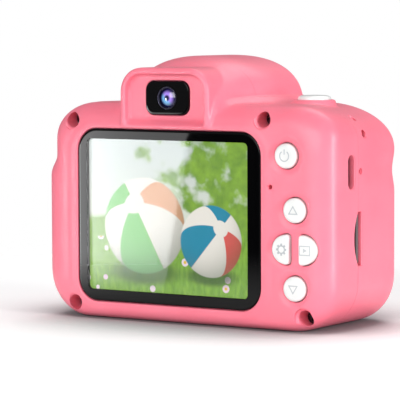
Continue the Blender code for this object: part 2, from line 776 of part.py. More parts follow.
front_shell = outer_skin("front_shell")
front_cuts = [
    rod("lens_hole", LENS_HOLE, -0.006, 0.002, "front", (AXIS_X, FRONT_Y, LENS_Z), None, 40),
    flat(
        "flash_pocket",
        rounded(FLASH_WIDTH + 2 * FIT, FLASH_HEIGHT + 2 * FIT, 0.0015, 3),
        -FLASH_THICKNESS,
        0.004,
        "front",
        (AXIS_X, HUMP_FRONT_Y, FLASH_Z),
    ),
    flat(
        "flash_opening",
        rounded(FLASH_WIDTH - 0.003, FLASH_HEIGHT - 0.002, 0.001, 2),
        -0.005,
        0.0,
        "front",
        (AXIS_X, HUMP_FRONT_Y, FLASH_Z),
    ),
    rod("shutter_pocket", SHUTTER_RADIUS + FIT, CAP_FLOOR_Z - COLLAR_Z, 0.0030, "up", SHUTTER_AT, None, 28),
    rod("shutter_hole", 0.0013 + FIT, -0.006, 0.001, "up", SHUTTER_AT, None, 14),
    rod("strap_drop", STRAP_RADIUS, STRAP_LOW_Z, STRAP_OUT, "up", (STRAP_X, STRAP_Y, 0), None, 14),
    rod("strap_side", STRAP_RADIUS, STRAP_X - 0.0004, STRAP_OUT, "right", (0, STRAP_Y, STRAP_Z), None, 10),
    rod("pin_hole", PIN_RADIUS, RIGHT_X - 0.006, RIGHT_X + 0.002, "right", (0, CARD_Y + 0.0001, USB_Z), None, 8),
    side_notch("front_notch"),
]
for index, (x, z, past_seam) in enumerate(SCREW_PLACES):
    far = -(SCREW_GRIP + FIT)
    front_cuts.append(rod(f"pilot_{index}", SCREW_SHANK + FIT, far, 0.002, "back", (x, SEAM_Y, z), None, 12))
SPEAKER_Y = (SEAM_Y + FRONT_Y) / 2 - 0.0006
for index in range(7):
    reach = 0.0 if index == 6 else 0.0030
    angle = math.radians(60 * index)
    spot = (SPEAKER_X + reach * math.cos(angle), SPEAKER_Y + reach * math.sin(angle), 0)
    front_cuts.append(rod(f"sound_hole_{index}", 0.0006, -0.001, 0.004, "up", spot, None, 8))
boolean(front_shell, "DIFFERENCE", [HOLLOW])
boolean(front_shell, "INTERSECT", [FRONT_HALF])
boolean(front_shell, "DIFFERENCE", front_cuts)

for shell in (rear_shell, front_shell):
    shell.hide_render = False
    shell.display_type = "TEXTURED"
    shell.data.materials.append(PINK)
    PARTS.objects.link(shell)
    CUTTERS.objects.unlink(shell)

# Screen stack
flat(
    "screen_glass",
    rounded(GLASS_WIDTH, GLASS_HEIGHT, GLASS_CORNER),
    -GLASS_THICKNESS,
    0.0,
    "back",
    (GLASS_X, GLASS_Y, GLASS_Z),
    GLASS,
)
PANEL_Y = POCKET_Y
FRAME_Y = INNER_REAR_Y + FIT
box(
    "lcd_panel",
    (GLASS_X - VIEW_WIDTH / 2, PANEL_Y, GLASS_Z - VIEW_HEIGHT / 2),
    (GLASS_X + VIEW_WIDTH / 2, PANEL_Y + PANEL_DEPTH, GLASS_Z + VIEW_HEIGHT / 2),
    PICTURE,
)
FRAME_BACK_Y = PANEL_Y + PANEL_DEPTH + FIT + FRAME_FLOOR
lcd_frame = box(
    "lcd_frame",
    (GLASS_X - VIEW_WIDTH / 2 - FIT - FRAME_MARGIN, FRAME_Y, GLASS_Z - VIEW_HEIGHT / 2 - FIT - FRAME_MARGIN),
    (GLASS_X + VIEW_WIDTH / 2 + FIT + FRAME_MARGIN, FRAME_BACK_Y, GLASS_Z + VIEW_HEIGHT / 2 + FIT + FRAME_MARGIN),
    STEEL,
)
frame_pocket = box(
    "frame_pocket",
    (GLASS_X - VIEW_WIDTH / 2 - FIT, FRAME_Y - 0.005, GLASS_Z - VIEW_HEIGHT / 2 - FIT),
    (GLASS_X + VIEW_WIDTH / 2 + FIT, FRAME_BACK_Y - FRAME_FLOOR, GLASS_Z + VIEW_HEIGHT / 2 + FIT),
)
boolean(lcd_frame, "DIFFERENCE", [frame_pocket])
LCD_TAIL_Y = FRAME_BACK_Y + FIT
BOARD_TAIL_Y = BOARD_REAR_Y - FIT
LCD_TAIL_Z = BOARD_LOW_Z - 0.0010
strip(
    "lcd_flex",
    [
        (LCD_TAIL_Y, LCD_TAIL_Z + 0.0060),
        (LCD_TAIL_Y, LCD_TAIL_Z + 0.0015),
        (LCD_TAIL_Y + 0.0015, LCD_TAIL_Z),
        (BOARD_TAIL_Y - 0.0015, LCD_TAIL_Z),
        (BOARD_TAIL_Y, LCD_TAIL_Z + 0.0015),
        (BOARD_TAIL_Y, LCD_TAIL_Z + 0.0060),
    ],
    0.0140,
    CABLE_FILM,
)

# Selfie camera behind its window in the hood
SELFIE_Y = HOOD_FACE_Y - FIT
flat(
    "selfie_window",
    rounded(SELFIE_WIDTH, SELFIE_HEIGHT, SELFIE_CORNER, 4),
    -SELFIE_THICKNESS,
    0.0,
    "back",
    (AXIS_X, SELFIE_Y, SELFIE_Z),
    GLASS,
)
SELFIE_INNER_Y = HOOD_FACE_Y + HOOD_WALL + FIT
SELFIE_DEPTH = 0.0040
SELFIE_HALF = 0.0041
selfie_camera = box(
    "selfie_camera",
    (AXIS_X - SELFIE_HALF, SELFIE_INNER_Y, SELFIE_Z - SELFIE_HALF),
    (AXIS_X + SELFIE_HALF, SELFIE_INNER_Y + SELFIE_DEPTH, SELFIE_Z + SELFIE_HALF),
    BLACK,
)
SELFIE_AT = (AXIS_X, SELFIE_INNER_Y, SELFIE_Z)
selfie_bore = rod("selfie_bore", SELFIE_LENS_RADIUS + FIT, -0.0025, 0.001, "back", SELFIE_AT)
boolean(selfie_camera, "DIFFERENCE", [selfie_bore])
SELFIE_FRONT = SELFIE_INNER_Y - (SELFIE_Y + SELFIE_THICKNESS + FIT)
turned(
    "selfie_lens",
    [
        (0.0, SELFIE_FRONT - 0.0002),
        (0.0012, SELFIE_FRONT - 0.0005),
        (0.0016, SELFIE_FRONT),
        (SELFIE_LENS_RADIUS, SELFIE_FRONT),
        (SELFIE_LENS_RADIUS, -0.0021),
        (0.0, -0.0021),
    ],
    "back",
    SELFIE_AT,
    LENS,
    20,
)
SELFIE_TAIL_Y = SELFIE_INNER_Y + SELFIE_DEPTH + FIT
strip(
    "selfie_flex",
    [
        (SELFIE_TAIL_Y, SELFIE_Z + 0.0020),
        (SELFIE_TAIL_Y, BOARD_TOP_Z + 0.0020),
        (BOARD_TAIL_Y, BOARD_TOP_Z - 0.0010),
        (BOARD_TAIL_Y, BOARD_TOP_Z - 0.0040),
    ],
    0.0050,
    CABLE_FILM,
)

# Main board and its parts
main_board = box(
    "main_board",
    (-RIGHT_X + BOARD_LEFT, BOARD_REAR_Y, BOARD_LOW_Z),
    (RIGHT_X - BOARD_RIGHT, BOARD_FRONT_Y, BOARD_TOP_Z),
    BOARD,
)
board_holes = []
for index, (x, z) in enumerate(BOARD_SCREW_PLACES):
    board_holes.append(rod(f"board_hole_{index}", 0.0010, -0.01, 0.01, "back", (x, BOARD_REAR_Y, z), None, 12))
boolean(main_board, "DIFFERENCE", board_holes)
for index, (x, z) in enumerate(BOARD_SCREW_PLACES):
    turned(
        f"board_screw_{index + 1}",
        [
            (0.0, 0.0010),
            (0.0011, 0.0009),
            (0.0015, 0.0005),
            (0.0015, 0.0),
            (0.0006, 0.0),
            (0.0006, -0.0060),
            (0.0, -0.0064),
        ],
        "front",
        (x, BOARD_FRONT_Y + FIT, z),
        STEEL,
        12,
    )
CHIP_Z = (BOARD_LOW_Z + BOARD_TOP_Z) / 2
box(
    "processor_chip",
    (AXIS_X - CHIP_SIZE / 2, BOARD_REAR_Y - FIT - CHIP_HEIGHT, CHIP_Z - CHIP_SIZE / 2),
    (AXIS_X + CHIP_SIZE / 2, BOARD_REAR_Y - FIT, CHIP_Z + CHIP_SIZE / 2),
    BLACK,
    0.0002,
)
TAPE_Y = BOARD_FRONT_Y + FIT
BATTERY_Y = TAPE_Y + TAPE_THICKNESS + FIT
BATTERY_LEFT = BATTERY_X - BATTERY_SIZE[0] / 2
BATTERY_TOP_Z = BATTERY_LOW_Z + BATTERY_SIZE[2]
box(
    "battery_tape",
    (BATTERY_LEFT + 0.003, TAPE_Y, BATTERY_LOW_Z + 0.003),
    (BATTERY_LEFT + BATTERY_SIZE[0] - 0.003, TAPE_Y + TAPE_THICKNESS, BATTERY_TOP_Z - 0.003),
    TAPE,
)
box(
    "battery_cell",
    (BATTERY_LEFT, BATTERY_Y, BATTERY_LOW_Z),
    (BATTERY_LEFT + BATTERY_SIZE[0], BATTERY_Y + BATTERY_SIZE[1], BATTERY_TOP_Z),
    CELL,
    0.0010,
)
LEAD = 0.00045
LEAD_Y = BATTERY_Y + BATTERY_SIZE[1] / 2
LEAD_TOP_Z = BATTERY_TOP_Z + 0.0028
for name, x, finish in (("battery_lead_red", 0.004, RED), ("battery_lead_black", 0.007, BLACK)):
    wire(
        name,
        [
            (BATTERY_LEFT + x, LEAD_Y, BATTERY_TOP_Z + FIT),
            (BATTERY_LEFT + x, LEAD_Y, LEAD_TOP_Z - 0.0010),
            (BATTERY_LEFT + x, LEAD_Y - 0.0010, LEAD_TOP_Z),
            (BATTERY_LEFT + x, BOARD_FRONT_Y + FIT, LEAD_TOP_Z),
        ],
        LEAD,
        finish,
    )

# Speaker on the floor of the front shell
SPEAKER_LOW_Z = WALL + FIT
SPEAKER_HIGH_Z = SPEAKER_LOW_Z + SPEAKER_DEPTH
turned(
    "speaker",
    [
        (0.0, SPEAKER_HIGH_Z),
        (SPEAKER_RADIUS * 0.62, SPEAKER_HIGH_Z),
        (SPEAKER_RADIUS * 0.68, SPEAKER_HIGH_Z - 0.0016),
        (SPEAKER_RADIUS, SPEAKER_HIGH_Z - 0.0022),
        (SPEAKER_RADIUS, SPEAKER_LOW_Z),
        (SPEAKER_RADIUS - 0.0010, SPEAKER_LOW_Z),
        (SPEAKER_RADIUS - 0.0016, SPEAKER_LOW_Z + 0.0009),
        (0.0, SPEAKER_LOW_Z + 0.0004),
    ],
    "up",
    (SPEAKER_X, SPEAKER_Y, 0),
    BLACK,
    24,
)
SPEAKER_LEAD_Z = max(SPEAKER_HIGH_Z, BOARD_LOW_Z) + 0.0011
for name, x, finish in (("speaker_lead_red", -0.0012, RED), ("speaker_lead_black", 0.0012, BLACK)):
    wire(
        name,
        [
            (SPEAKER_X + x, SPEAKER_Y, SPEAKER_HIGH_Z + FIT),
            (SPEAKER_X + x, SPEAKER_Y, SPEAKER_LEAD_Z - 0.0008),
            (SPEAKER_X + x, SPEAKER_Y - 0.0010, SPEAKER_LEAD_Z),
            (SPEAKER_X + x, BOARD_FRONT_Y + FIT, SPEAKER_LEAD_Z),
        ],
        LEAD,
        finish,
    )
turned(
    "microphone",
    [
        (0.0, -0.0001),
        (0.0004, -0.0003),
        (0.0007, 0.0),
        (MIC_RADIUS, 0.0),
        (MIC_RADIUS, -0.0020),
        (0.0, -0.0020),
    ],
    "back",
    (RIGHT_X - MIC_FROM_RIGHT, INNER_REAR_Y + FIT, MIC_Z),
    STEEL,
    16,
)

# Charging socket: a thin sleeve with a tongue in it
USB_AT = (USB_X, USB_MID_Y, USB_Z)
usb_socket = flat(
    "usb_socket",
    rounded(USB_HEIGHT, USB_DEPTH, USB_DEPTH * 0.42, 3),
    -USB_LENGTH,
    0.0,
    "right",
    USB_AT,
    STEEL,
)
usb_mouth = flat(
    "usb_mouth",
    rounded(USB_HEIGHT - 2 * USB_SKIN, USB_DEPTH - 2 * USB_SKIN, (USB_DEPTH - 2 * USB_SKIN) * 0.42, 3),
    -USB_LENGTH + 0.0010,
    0.001,
    "right",
    USB_AT,
)
usb_tongue = box(
    "usb_tongue",
    (USB_X - USB_LENGTH + 0.0005, USB_MID_Y - 0.0003, USB_Z - USB_HEIGHT * 0.30),
    (USB_X - 0.0006, USB_MID_Y + 0.0003, USB_Z + USB_HEIGHT * 0.30),
)
boolean(usb_socket, "DIFFERENCE", [usb_mouth])
boolean(usb_socket, "UNION", [usb_tongue])

# Card socket and card
CARD_END_X = RIGHT_X - CARD_INSET
CARD_START_X = CARD_END_X - CARD_LENGTH
SOCKET_END_X = RIGHT_X - WALL - 0.0005
card_socket = box(
    "card_socket",
    (CARD_START_X - CARD_PUSH - 0.0014, BOARD_FRONT_Y + FIT, CARD_Z - CARD_WIDTH / 2 - 0.0013),
    (SOCKET_END_X, CARD_Y + CARD_THICKNESS / 2 + 0.0008, CARD_Z + CARD_WIDTH / 2 + 0.0013),
    STEEL,
)
card_pocket = box(
    "card_pocket",
    (CARD_START_X - CARD_PUSH - 0.0004, CARD_Y - CARD_THICKNESS / 2 - FIT, CARD_Z - CARD_WIDTH / 2 - FIT),
    (SOCKET_END_X + 0.002, CARD_Y + CARD_THICKNESS / 2 + FIT, CARD_Z + CARD_WIDTH / 2 + FIT),
)
boolean(card_socket, "DIFFERENCE", [card_pocket])
memory_card = box(
    "memory_card",
    (-CARD_LENGTH / 2, -CARD_THICKNESS / 2, -CARD_WIDTH / 2),
    (CARD_LENGTH / 2, CARD_THICKNESS / 2, CARD_WIDTH / 2),
    BLACK,
    0.0002,
)
memory_card.location = (CARD_END_X - CARD_LENGTH / 2, CARD_Y, CARD_Z)

# Reset switch behind the pinhole
RESET_END_X = RIGHT_X - WALL - 0.0030
reset_switch = box(
    "reset_switch",
    (RESET_END_X - 0.0035, BOARD_FRONT_Y + FIT, USB_Z - 0.0016),
    (RESET_END_X, BOARD_FRONT_Y + FIT + 0.0022, USB_Z + 0.0016),
    BLACK,
)
RESET_AT = (RESET_END_X, CARD_Y + 0.0001, USB_Z)
reset_bore = rod("reset_bore", 0.0007, -0.0020, 0.001, "right", RESET_AT, None, 12)
boolean(reset_switch, "DIFFERENCE", [reset_bore])
rod("reset_plunger", 0.0004, -0.0013, 0.0016, "right", RESET_AT, WHITE, 10)


def switch(name, facing, location):
    """Key switch with a bore for its plunger; its own Z is the way the key comes out."""
    half = SWITCH_SIZE / 2
    body = box(name + "_switch", (-half, -half, 0), (half, half, SWITCH_HEIGHT), BLACK, 0.0002)
    place(body, facing, location)
    spot = Vector(location) + FACING[facing].to_3x3() @ Vector((0, 0, SWITCH_HEIGHT))
    bore = rod(name + "_bore", PLUNGER_RADIUS + FIT, -SWITCH_BORE, 0.001, facing, spot, None, 12)
    boolean(body, "DIFFERENCE", [bore])
    rod(name + "_plunger", PLUNGER_RADIUS, -0.0010, PLUNGER_LENGTH, facing, spot, WHITE, 12)


# Keys on the back: each cap has a flange behind the wall and a stem to its switch
for key, x, z in ROUND_KEYS:
    turned(
        key + "_button",
        [
            (0.0, KEY_PROUD),
            (KEY_RADIUS * 0.70, KEY_PROUD * 0.92),
            (KEY_RADIUS * 0.92, KEY_PROUD * 0.55),
            (KEY_RADIUS, 0.0),
            (KEY_RADIUS, FLANGE_HIGH),
            (KEY_RADIUS + KEY_FLANGE, FLANGE_HIGH),
            (KEY_RADIUS + KEY_FLANGE, FLANGE_LOW),
            (0.0014, FLANGE_LOW),
            (0.0014, STEM_END),
            (0.0, STEM_END),
        ],
        "back",
        (x, BODY_REAR_Y, z),
        WHITE,
        24,
    )
    switch(key, "back", (x, BOARD_REAR_Y - FIT, z))
for key, side in HALF_KEYS:
    spot = (KEY_X, BODY_REAR_Y, HALF_Z)
    stem_x = KEY_X + side * HALF_REACH
    cap = flat(key + "_button", key_outline(0.0, side), FLANGE_LOW + 0.0002, KEY_PROUD, "back", spot, WHITE)
    flange = flat(key + "_flange", key_outline(KEY_FLANGE, side), FLANGE_LOW, FLANGE_HIGH, "back", spot)
    stem = rod(key + "_stem", 0.0014, STEM_END, FLANGE_HIGH, "back", (stem_x, BODY_REAR_Y, HALF_Z), None, 12)
    boolean(cap, "UNION", [flange, stem])
    switch(key, "back", (stem_x, BOARD_REAR_Y - FIT, HALF_Z))

# Shutter: cap, switch and the small board on the shelf
turned(
    "shutter_button",
    [
        (0.0, CAP_RISE),
        (SHUTTER_RADIUS * 0.80, CAP_RISE * 0.94),
        (SHUTTER_RADIUS * 0.95, CAP_RISE * 0.65),
        (SHUTTER_RADIUS, CAP_RISE * 0.25),
        (SHUTTER_RADIUS, -CAP_SINK),
        (0.0013, -CAP_SINK),
        (0.0013, SHOULDER_Z - WALL - 0.0005 - COLLAR_Z),
        (0.0018, SHOULDER_Z - WALL - 0.0007 - COLLAR_Z),
        (0.0013, SHOULDER_Z - WALL - 0.0016 - COLLAR_Z),
        (0.0013, SHUTTER_TIP_Z + FIT - COLLAR_Z),
        (0.0, SHUTTER_TIP_Z + FIT - COLLAR_Z),
    ],
    "up",
    SHUTTER_AT,
    WHITE,
    28,
)
switch("shutter", "up", (SHUTTER_X, SHUTTER_Y, SHUTTER_SWITCH_Z))
box(
    "shutter_board",
    (SHUTTER_X - 0.0050, SHUTTER_Y - 0.0035, SHELF_Z + FIT),
    (SHUTTER_X + 0.0050, SHUTTER_Y + 0.0045, SHELF_Z + FIT + SHUTTER_BOARD_THICKNESS),
    BOARD,
)

# Case screws in their wells
for index, (x, z, past_seam) in enumerate(SCREW_PLACES):
    tip = -(SEAM_Y + SCREW_GRIP - WELL_FLOOR_Y + FIT)
    turned(
        f"case_screw_{index + 1}",
        [
            (0.0, 0.0012),
            (SCREW_HEAD * 0.75, 0.0010),
            (SCREW_HEAD, 0.0005),
            (SCREW_HEAD, 0.0),
            (SCREW_SHANK, 0.0),
            (SCREW_SHANK, tip + 0.0010),
            (0.0, tip + 0.0002),
        ],
        "back",
        (x, WELL_FLOOR_Y - FIT, z),
        STEEL,
        14,
    )

# Lens: barrel on the front wall, with a window, a trim ring, a baffle and the camera behind
LENS_AT = (AXIS_X, FRONT_Y, LENS_Z)
LEDGE = BARREL_LENGTH - WINDOW_THICKNESS - 3 * FIT + 0.0001
turned(
    "lens_barrel",
    [
        (WINDOW_RADIUS + FIT, BARREL_LENGTH),
        (BARREL_RADIUS - 0.0008, BARREL_LENGTH),
        (BARREL_RADIUS, BARREL_LENGTH - 0.0007),
        (BARREL_RADIUS + 0.0006, 0.0030),
        (BARREL_FLANGE, 0.0020),
        (BARREL_FLANGE, FIT),
        (LENS_HOLE - FIT, FIT),
        (LENS_HOLE - FIT, -0.0026),
        (BARREL_BORE, -0.0026),
        (BARREL_BORE, LEDGE),
        (WINDOW_RADIUS + FIT, LEDGE),
    ],
    "front",
    LENS_AT,
    PINK,
    36,
    True,
)
turned(
    "lens_window",
    [
        (0.0, LEDGE + FIT + WINDOW_THICKNESS),
        (WINDOW_RADIUS, LEDGE + FIT + WINDOW_THICKNESS),
        (WINDOW_RADIUS, LEDGE + FIT),
        (0.0, LEDGE + FIT),
    ],
    "front",
    LENS_AT,
    GLASS,
    36,
)
TRIM_LOW = BARREL_LENGTH + FIT
TRIM_HIGH = TRIM_LOW + TRIM_RISE
turned(
    "lens_trim_ring",
    [
        (BARREL_RADIUS - 0.0030, TRIM_HIGH),
        (BARREL_RADIUS - 0.0018, TRIM_HIGH),
        (BARREL_RADIUS - 0.0008, TRIM_HIGH - 0.0006),
        (BARREL_RADIUS - 0.0005, TRIM_LOW),
        (WINDOW_RADIUS - 0.0006, TRIM_LOW),
        (WINDOW_RADIUS - 0.0002, TRIM_HIGH - 0.0008),
    ],
    "front",
    LENS_AT,
    WHITE,
    36,
    True,
)
turned(
    "lens_baffle",
    [
        (BARREL_BORE - 0.0010, LEDGE - FIT),
        (BARREL_BORE - FIT, LEDGE - FIT),
        (BARREL_BORE - FIT, LEDGE - 0.0020),
        (0.0060, -0.0020),
        (0.0060, -0.0030),
        (0.0046, -0.0030),
        (0.0046, -0.0010),
    ],
    "front",
    LENS_AT,
    BLACK,
    28,
    True,
)
turned(
    "front_lens",
    [
        (0.0, 0.0006),
        (0.0018, 0.0003),
        (0.0030, -0.0002),
        (0.0034, 0.0010),
        (0.0043, 0.0010),
        (0.0043, -0.0027),
        (0.0036, -0.0027),
        (0.0036, -0.0055),
        (0.0, -0.0055),
    ],
    "front",
    LENS_AT,
    LENS,
    24,
)
CAMERA_HIGH_Y = FRONT_Y - 0.0033
CAMERA_LOW_Y = CAMERA_HIGH_Y - CAMERA_DEPTH
front_camera = box(
    "front_camera",
    (AXIS_X - CAMERA_SIZE / 2, CAMERA_LOW_Y, LENS_Z - CAMERA_SIZE / 2),
    (AXIS_X + CAMERA_SIZE / 2, CAMERA_HIGH_Y, LENS_Z + CAMERA_SIZE / 2),
    BLACK,
)
camera_bore = rod("camera_bore", 0.0039, -0.0026, 0.001, "front", (AXIS_X, CAMERA_HIGH_Y, LENS_Z))
boolean(front_camera, "DIFFERENCE", [camera_bore])
CAMERA_TAIL_Y = CAMERA_LOW_Y - FIT
FOLD_Z = BATTERY_TOP_Z + 0.0022
strip(
    "front_camera_flex",
    [
        (CAMERA_TAIL_Y, LENS_Z - 0.0030),
        (CAMERA_TAIL_Y, FOLD_Z - 0.0015),
        (CAMERA_TAIL_Y - 0.0015, FOLD_Z),
        (BOARD_FRONT_Y + FIT + 0.0015, FOLD_Z),
        (BOARD_FRONT_Y + FIT, FOLD_Z + 0.0015),
        (BOARD_FRONT_Y + FIT, FOLD_Z + 0.0035),
    ],
    0.0060,
    CABLE_FILM,
)

# Flash behind its window in the front of the hump
flat(
    "flash_window",
    rounded(FLASH_WIDTH, FLASH_HEIGHT, 0.0012, 4),
    -FLASH_THICKNESS + FIT,
    0.0002,
    "front",
    (AXIS_X, HUMP_FRONT_Y, FLASH_Z),
    DIFFUSER,
)
FLASH_BOARD_Y = HUMP_FRONT_Y - WALL - FIT
flash_board = box(
    "flash_board",
    (AXIS_X - FLASH_WIDTH * 0.41, FLASH_BOARD_Y - 0.0010, FLASH_Z - FLASH_HEIGHT * 0.45),
    (AXIS_X + FLASH_WIDTH * 0.41, FLASH_BOARD_Y, FLASH_Z + FLASH_HEIGHT * 0.38),
    WHITE,
)
flash_led = box(
    "flash_led",
    (AXIS_X - 0.0015, FLASH_BOARD_Y - 0.0005, FLASH_Z - 0.0012),
    (AXIS_X + 0.0015, FLASH_BOARD_Y + 0.0007, FLASH_Z + 0.0012),
)
boolean(flash_board, "UNION", [flash_led])

for made in PARTS.objects:
    if made.type == "MESH" and made not in (rear_shell, front_shell):
        made.data.shade_smooth()
        made.data.set_sharp_from_angle(angle=math.radians(35))
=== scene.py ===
# %% [markdown]
# # Dressing a toy camera
# The real object is a small moulded camera for children: two pink shells, a screen under glass,
# white keys and a fixed lens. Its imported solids, plain and faceted, are the frame of this lesson. A
# solid's own mesh is never changed here. Each visible piece is drawn again, with softer edges and
# finer detail, in the place of its solid. Drawings are in millimetres and become meshes in metres
# in the same frame: +X to the right of someone who looks at the screen, +Y out of the lens, +Z up.

# %% Load the solids
import json
import math

import bmesh
import bpy
from mathutils import Matrix, Vector
from mathutils.bvhtree import BVHTree

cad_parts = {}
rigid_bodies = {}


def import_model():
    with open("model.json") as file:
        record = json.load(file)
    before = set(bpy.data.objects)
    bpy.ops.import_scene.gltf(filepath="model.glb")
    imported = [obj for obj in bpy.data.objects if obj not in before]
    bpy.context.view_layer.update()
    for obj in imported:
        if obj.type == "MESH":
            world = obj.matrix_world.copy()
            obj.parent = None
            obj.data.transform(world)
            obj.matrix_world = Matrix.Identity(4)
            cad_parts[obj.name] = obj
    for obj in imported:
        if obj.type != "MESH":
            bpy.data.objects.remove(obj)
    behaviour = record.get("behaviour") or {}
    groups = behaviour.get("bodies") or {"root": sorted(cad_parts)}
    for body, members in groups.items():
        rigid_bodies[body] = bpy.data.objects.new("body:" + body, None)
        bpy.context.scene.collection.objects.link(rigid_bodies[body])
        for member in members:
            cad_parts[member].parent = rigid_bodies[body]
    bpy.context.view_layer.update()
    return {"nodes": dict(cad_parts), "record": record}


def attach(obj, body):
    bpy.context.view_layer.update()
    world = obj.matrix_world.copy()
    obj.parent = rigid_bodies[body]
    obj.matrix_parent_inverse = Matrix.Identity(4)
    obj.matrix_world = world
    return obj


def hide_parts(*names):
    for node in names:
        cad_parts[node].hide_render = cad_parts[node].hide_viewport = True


for old in list(bpy.data.objects):
    bpy.data.objects.remove(old)
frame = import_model()

# %% [markdown]
# ## Shared sizes
# These sizes of the solids are used by several pieces, in millimetres. Others are given where they
# are needed. The hump, the viewfinder hood and the lens share one upright axis, a little left of
# the middle.

# %% Shared sizes
MM = 0.001
RIGHT, SHOULDER = 39.0, 50.3
REAR, FRONT, SEAM = -21.7, 11.7, -9.0
AXIS, LENS_Z, SELFIE_Z = -4.1, 27.5, 51.6
GLASS_X, GLASS_Z, GLASS_W, GLASS_H, GLASS_CORNER = -3.65, 24.3, 49.7, 40.0, 5.2
VIEW_W, VIEW_H = 44.3, 35.68
FIT = 0.3
print("case:", 2 * RIGHT, "mm wide,", FRONT - REAR, "mm deep without its lens")

# %% [markdown]
# ## Outlines
# Most pieces of a moulded case are a flat outline that was given depth: a key, a window, a hole. An
# outline could be an editable curve. A plain list of points is easier to grow, shrink and mirror,
# so that is what these functions give. A facing says which way a drawing looks.

# %% Outlines
AIM = {
    "back": ((1, 0, 0), (0, 0, 1), (0, -1, 0)),
    "front": ((1, 0, 0), (0, 0, 1), (0, 1, 0)),
    "right": ((0, 1, 0), (0, 0, 1), (1, 0, 0)),
    "up": ((1, 0, 0), (0, 1, 0), (0, 0, 1)),
}


def place(facing, at):
    """Way from a drawing's own directions to the camera's."""
    across, up, out = (Vector(way) for way in AIM[facing])
    return lambda u, v, w: Vector(at) + u * across + v * up + w * out


def arc(centre, radius, start, end, steps):
    """Points of a circular arc, angles in degrees."""
    points = []
    for step in range(steps + 1):
        angle = math.radians(start + (end - start) * step / steps)
        points.append((centre[0] + radius * math.cos(angle), centre[1] + radius * math.sin(angle)))
    return points


def circle(radius, steps=48):
    """Round outline about the origin."""
    return arc((0, 0), radius, 0, 360, steps)[:-1]


def rounded(width, height, corner, steps=10):
    """Rectangle about the origin with rounded corners."""
    across, up = width / 2 - corner, height / 2 - corner
    points = []
    for turn, (x, y) in enumerate(((across, up), (-across, up), (-across, -up), (across, -up))):
        points += arc((x, y), corner, 90 * turn, 90 * turn + 90, steps)
    return points


def grown(outline, by):
    """Outline moved outwards by a distance along its own normals."""
    if by == 0:
        return outline
    count = len(outline)
    area = sum(outline[i - 1][0] * outline[i][1] - outline[i][0] * outline[i - 1][1] for i in range(count))
    side = 1 if area > 0 else -1
    moved = []
    for i in range(count):
        before = Vector(outline[i]) - Vector(outline[i - 1])
        after = Vector(outline[(i + 1) % count]) - Vector(outline[i])
        first = Vector((before.y, -before.x)).normalized() * side
        second = Vector((after.y, -after.x)).normalized() * side
        normal = (first + second).normalized()
        reach = by / max(normal.dot(first), 0.5)
        moved.append((outline[i][0] + normal.x * reach, outline[i][1] + normal.y * reach))
    return moved


def smooth(value):
    """Soft step from 0 to 1."""
    value = min(max(value, 0.0), 1.0)
    return value * value * (3 - 2 * value)


print("points in a rounded window:", len(rounded(GLASS_W, GLASS_H, GLASS_CORNER)))

# %% [markdown]
# ## Skins over outlines
# A moulded edge is never sharp, and a hole in a moulding has a rounded lip. Both could be bevelled
# afterwards, but a bevel struggles where many short edges meet. Here the outline is repeated at
# several heights, grown or shrunk at each, and the loops are bridged, so that the rounding is part
# of the skin from the start.

# %% Skins over outlines
def loft(loops):
    """Closed skin bridged over a row of loops that have the same number of points."""
    shape = bmesh.new()
    rings = []
    for loop in loops:
        verts = [shape.verts.new(point) for point in loop]
        rings.append([shape.edges.new((verts[i - 1], verts[i])) for i in range(len(verts))])
    for ring, above in zip(rings, rings[1:]):
        bmesh.ops.bridge_loops(shape, edges=ring + above)
    for end in (rings[0], rings[-1]):
        bmesh.ops.edgeloop_fill(shape, edges=end)
    bmesh.ops.recalc_face_normals(shape, faces=shape.faces)
    return shape


def stack(outline, sections, facing, at):
    """Outline lofted through heights, grown at each one."""
    spot = place(facing, at)
    return loft([[spot(u, v, w) for u, v in grown(outline, by)] for w, by in sections])


def bore(outline, low, high, facing, at):
    """Straight cutter or post between two heights."""
    return stack(outline, [(low, 0), (high, 0)], facing, at)


def edge(top, radius, steps=5):
    """Heights and shrinkage of a rounded upper edge."""
    turns = [math.pi / 2 * step / steps for step in range(steps + 1)]
    return [(top - radius + radius * math.sin(t), -radius * (1 - math.cos(t))) for t in turns]


def plate(outline, low, top, radius, facing, at):
    """Flat piece with a rounded upper edge. Its face rises by a micron, because loops in one plane twist."""
    return stack(outline, [(low, 0)] + edge(top, radius) + [(top + MM, -radius - 0.3)], facing, at)


def mouth(outline, low, radius, facing, at, above=3.0, steps=5):
    """Cutter whose upper end flares, so that the hole it leaves has a rounded lip."""
    turns = [math.pi / 2 * step / steps for step in range(steps + 1)]
    lip = [(-radius * (1 - math.sin(t)), radius * (1 - math.cos(t))) for t in turns]
    return stack(outline, [(low, 0)] + lip + [(above, radius)], facing, at)


print("heights in a rounded edge:", len(edge(0.0, 1.0)))

# %% [markdown]
# ## Turned shapes and blocks
# Caps, screws, rings and the lens barrel are round about one axis. They could be stacks of circles,
# but a half profile that is spun shows their steps and grooves at a glance.

# %% Turned shapes and blocks
def eased(profile, radius, steps=4):
    """Profile with its inner corners rounded."""
    points = [profile[0]]
    for before, here, after in zip(profile, profile[1:], profile[2:]):
        here = Vector(here)
        back, on = Vector(before) - here, Vector(after) - here
        reach = min(radius, back.length * 0.45, on.length * 0.45)
        first, last = here + back.normalized() * reach, here + on.normalized() * reach
        for step in range(steps + 1):
            t = step / steps
            points.append(tuple(first * (1 - t) ** 2 + here * 2 * t * (1 - t) + last * t ** 2))
    return points + [profile[-1]]


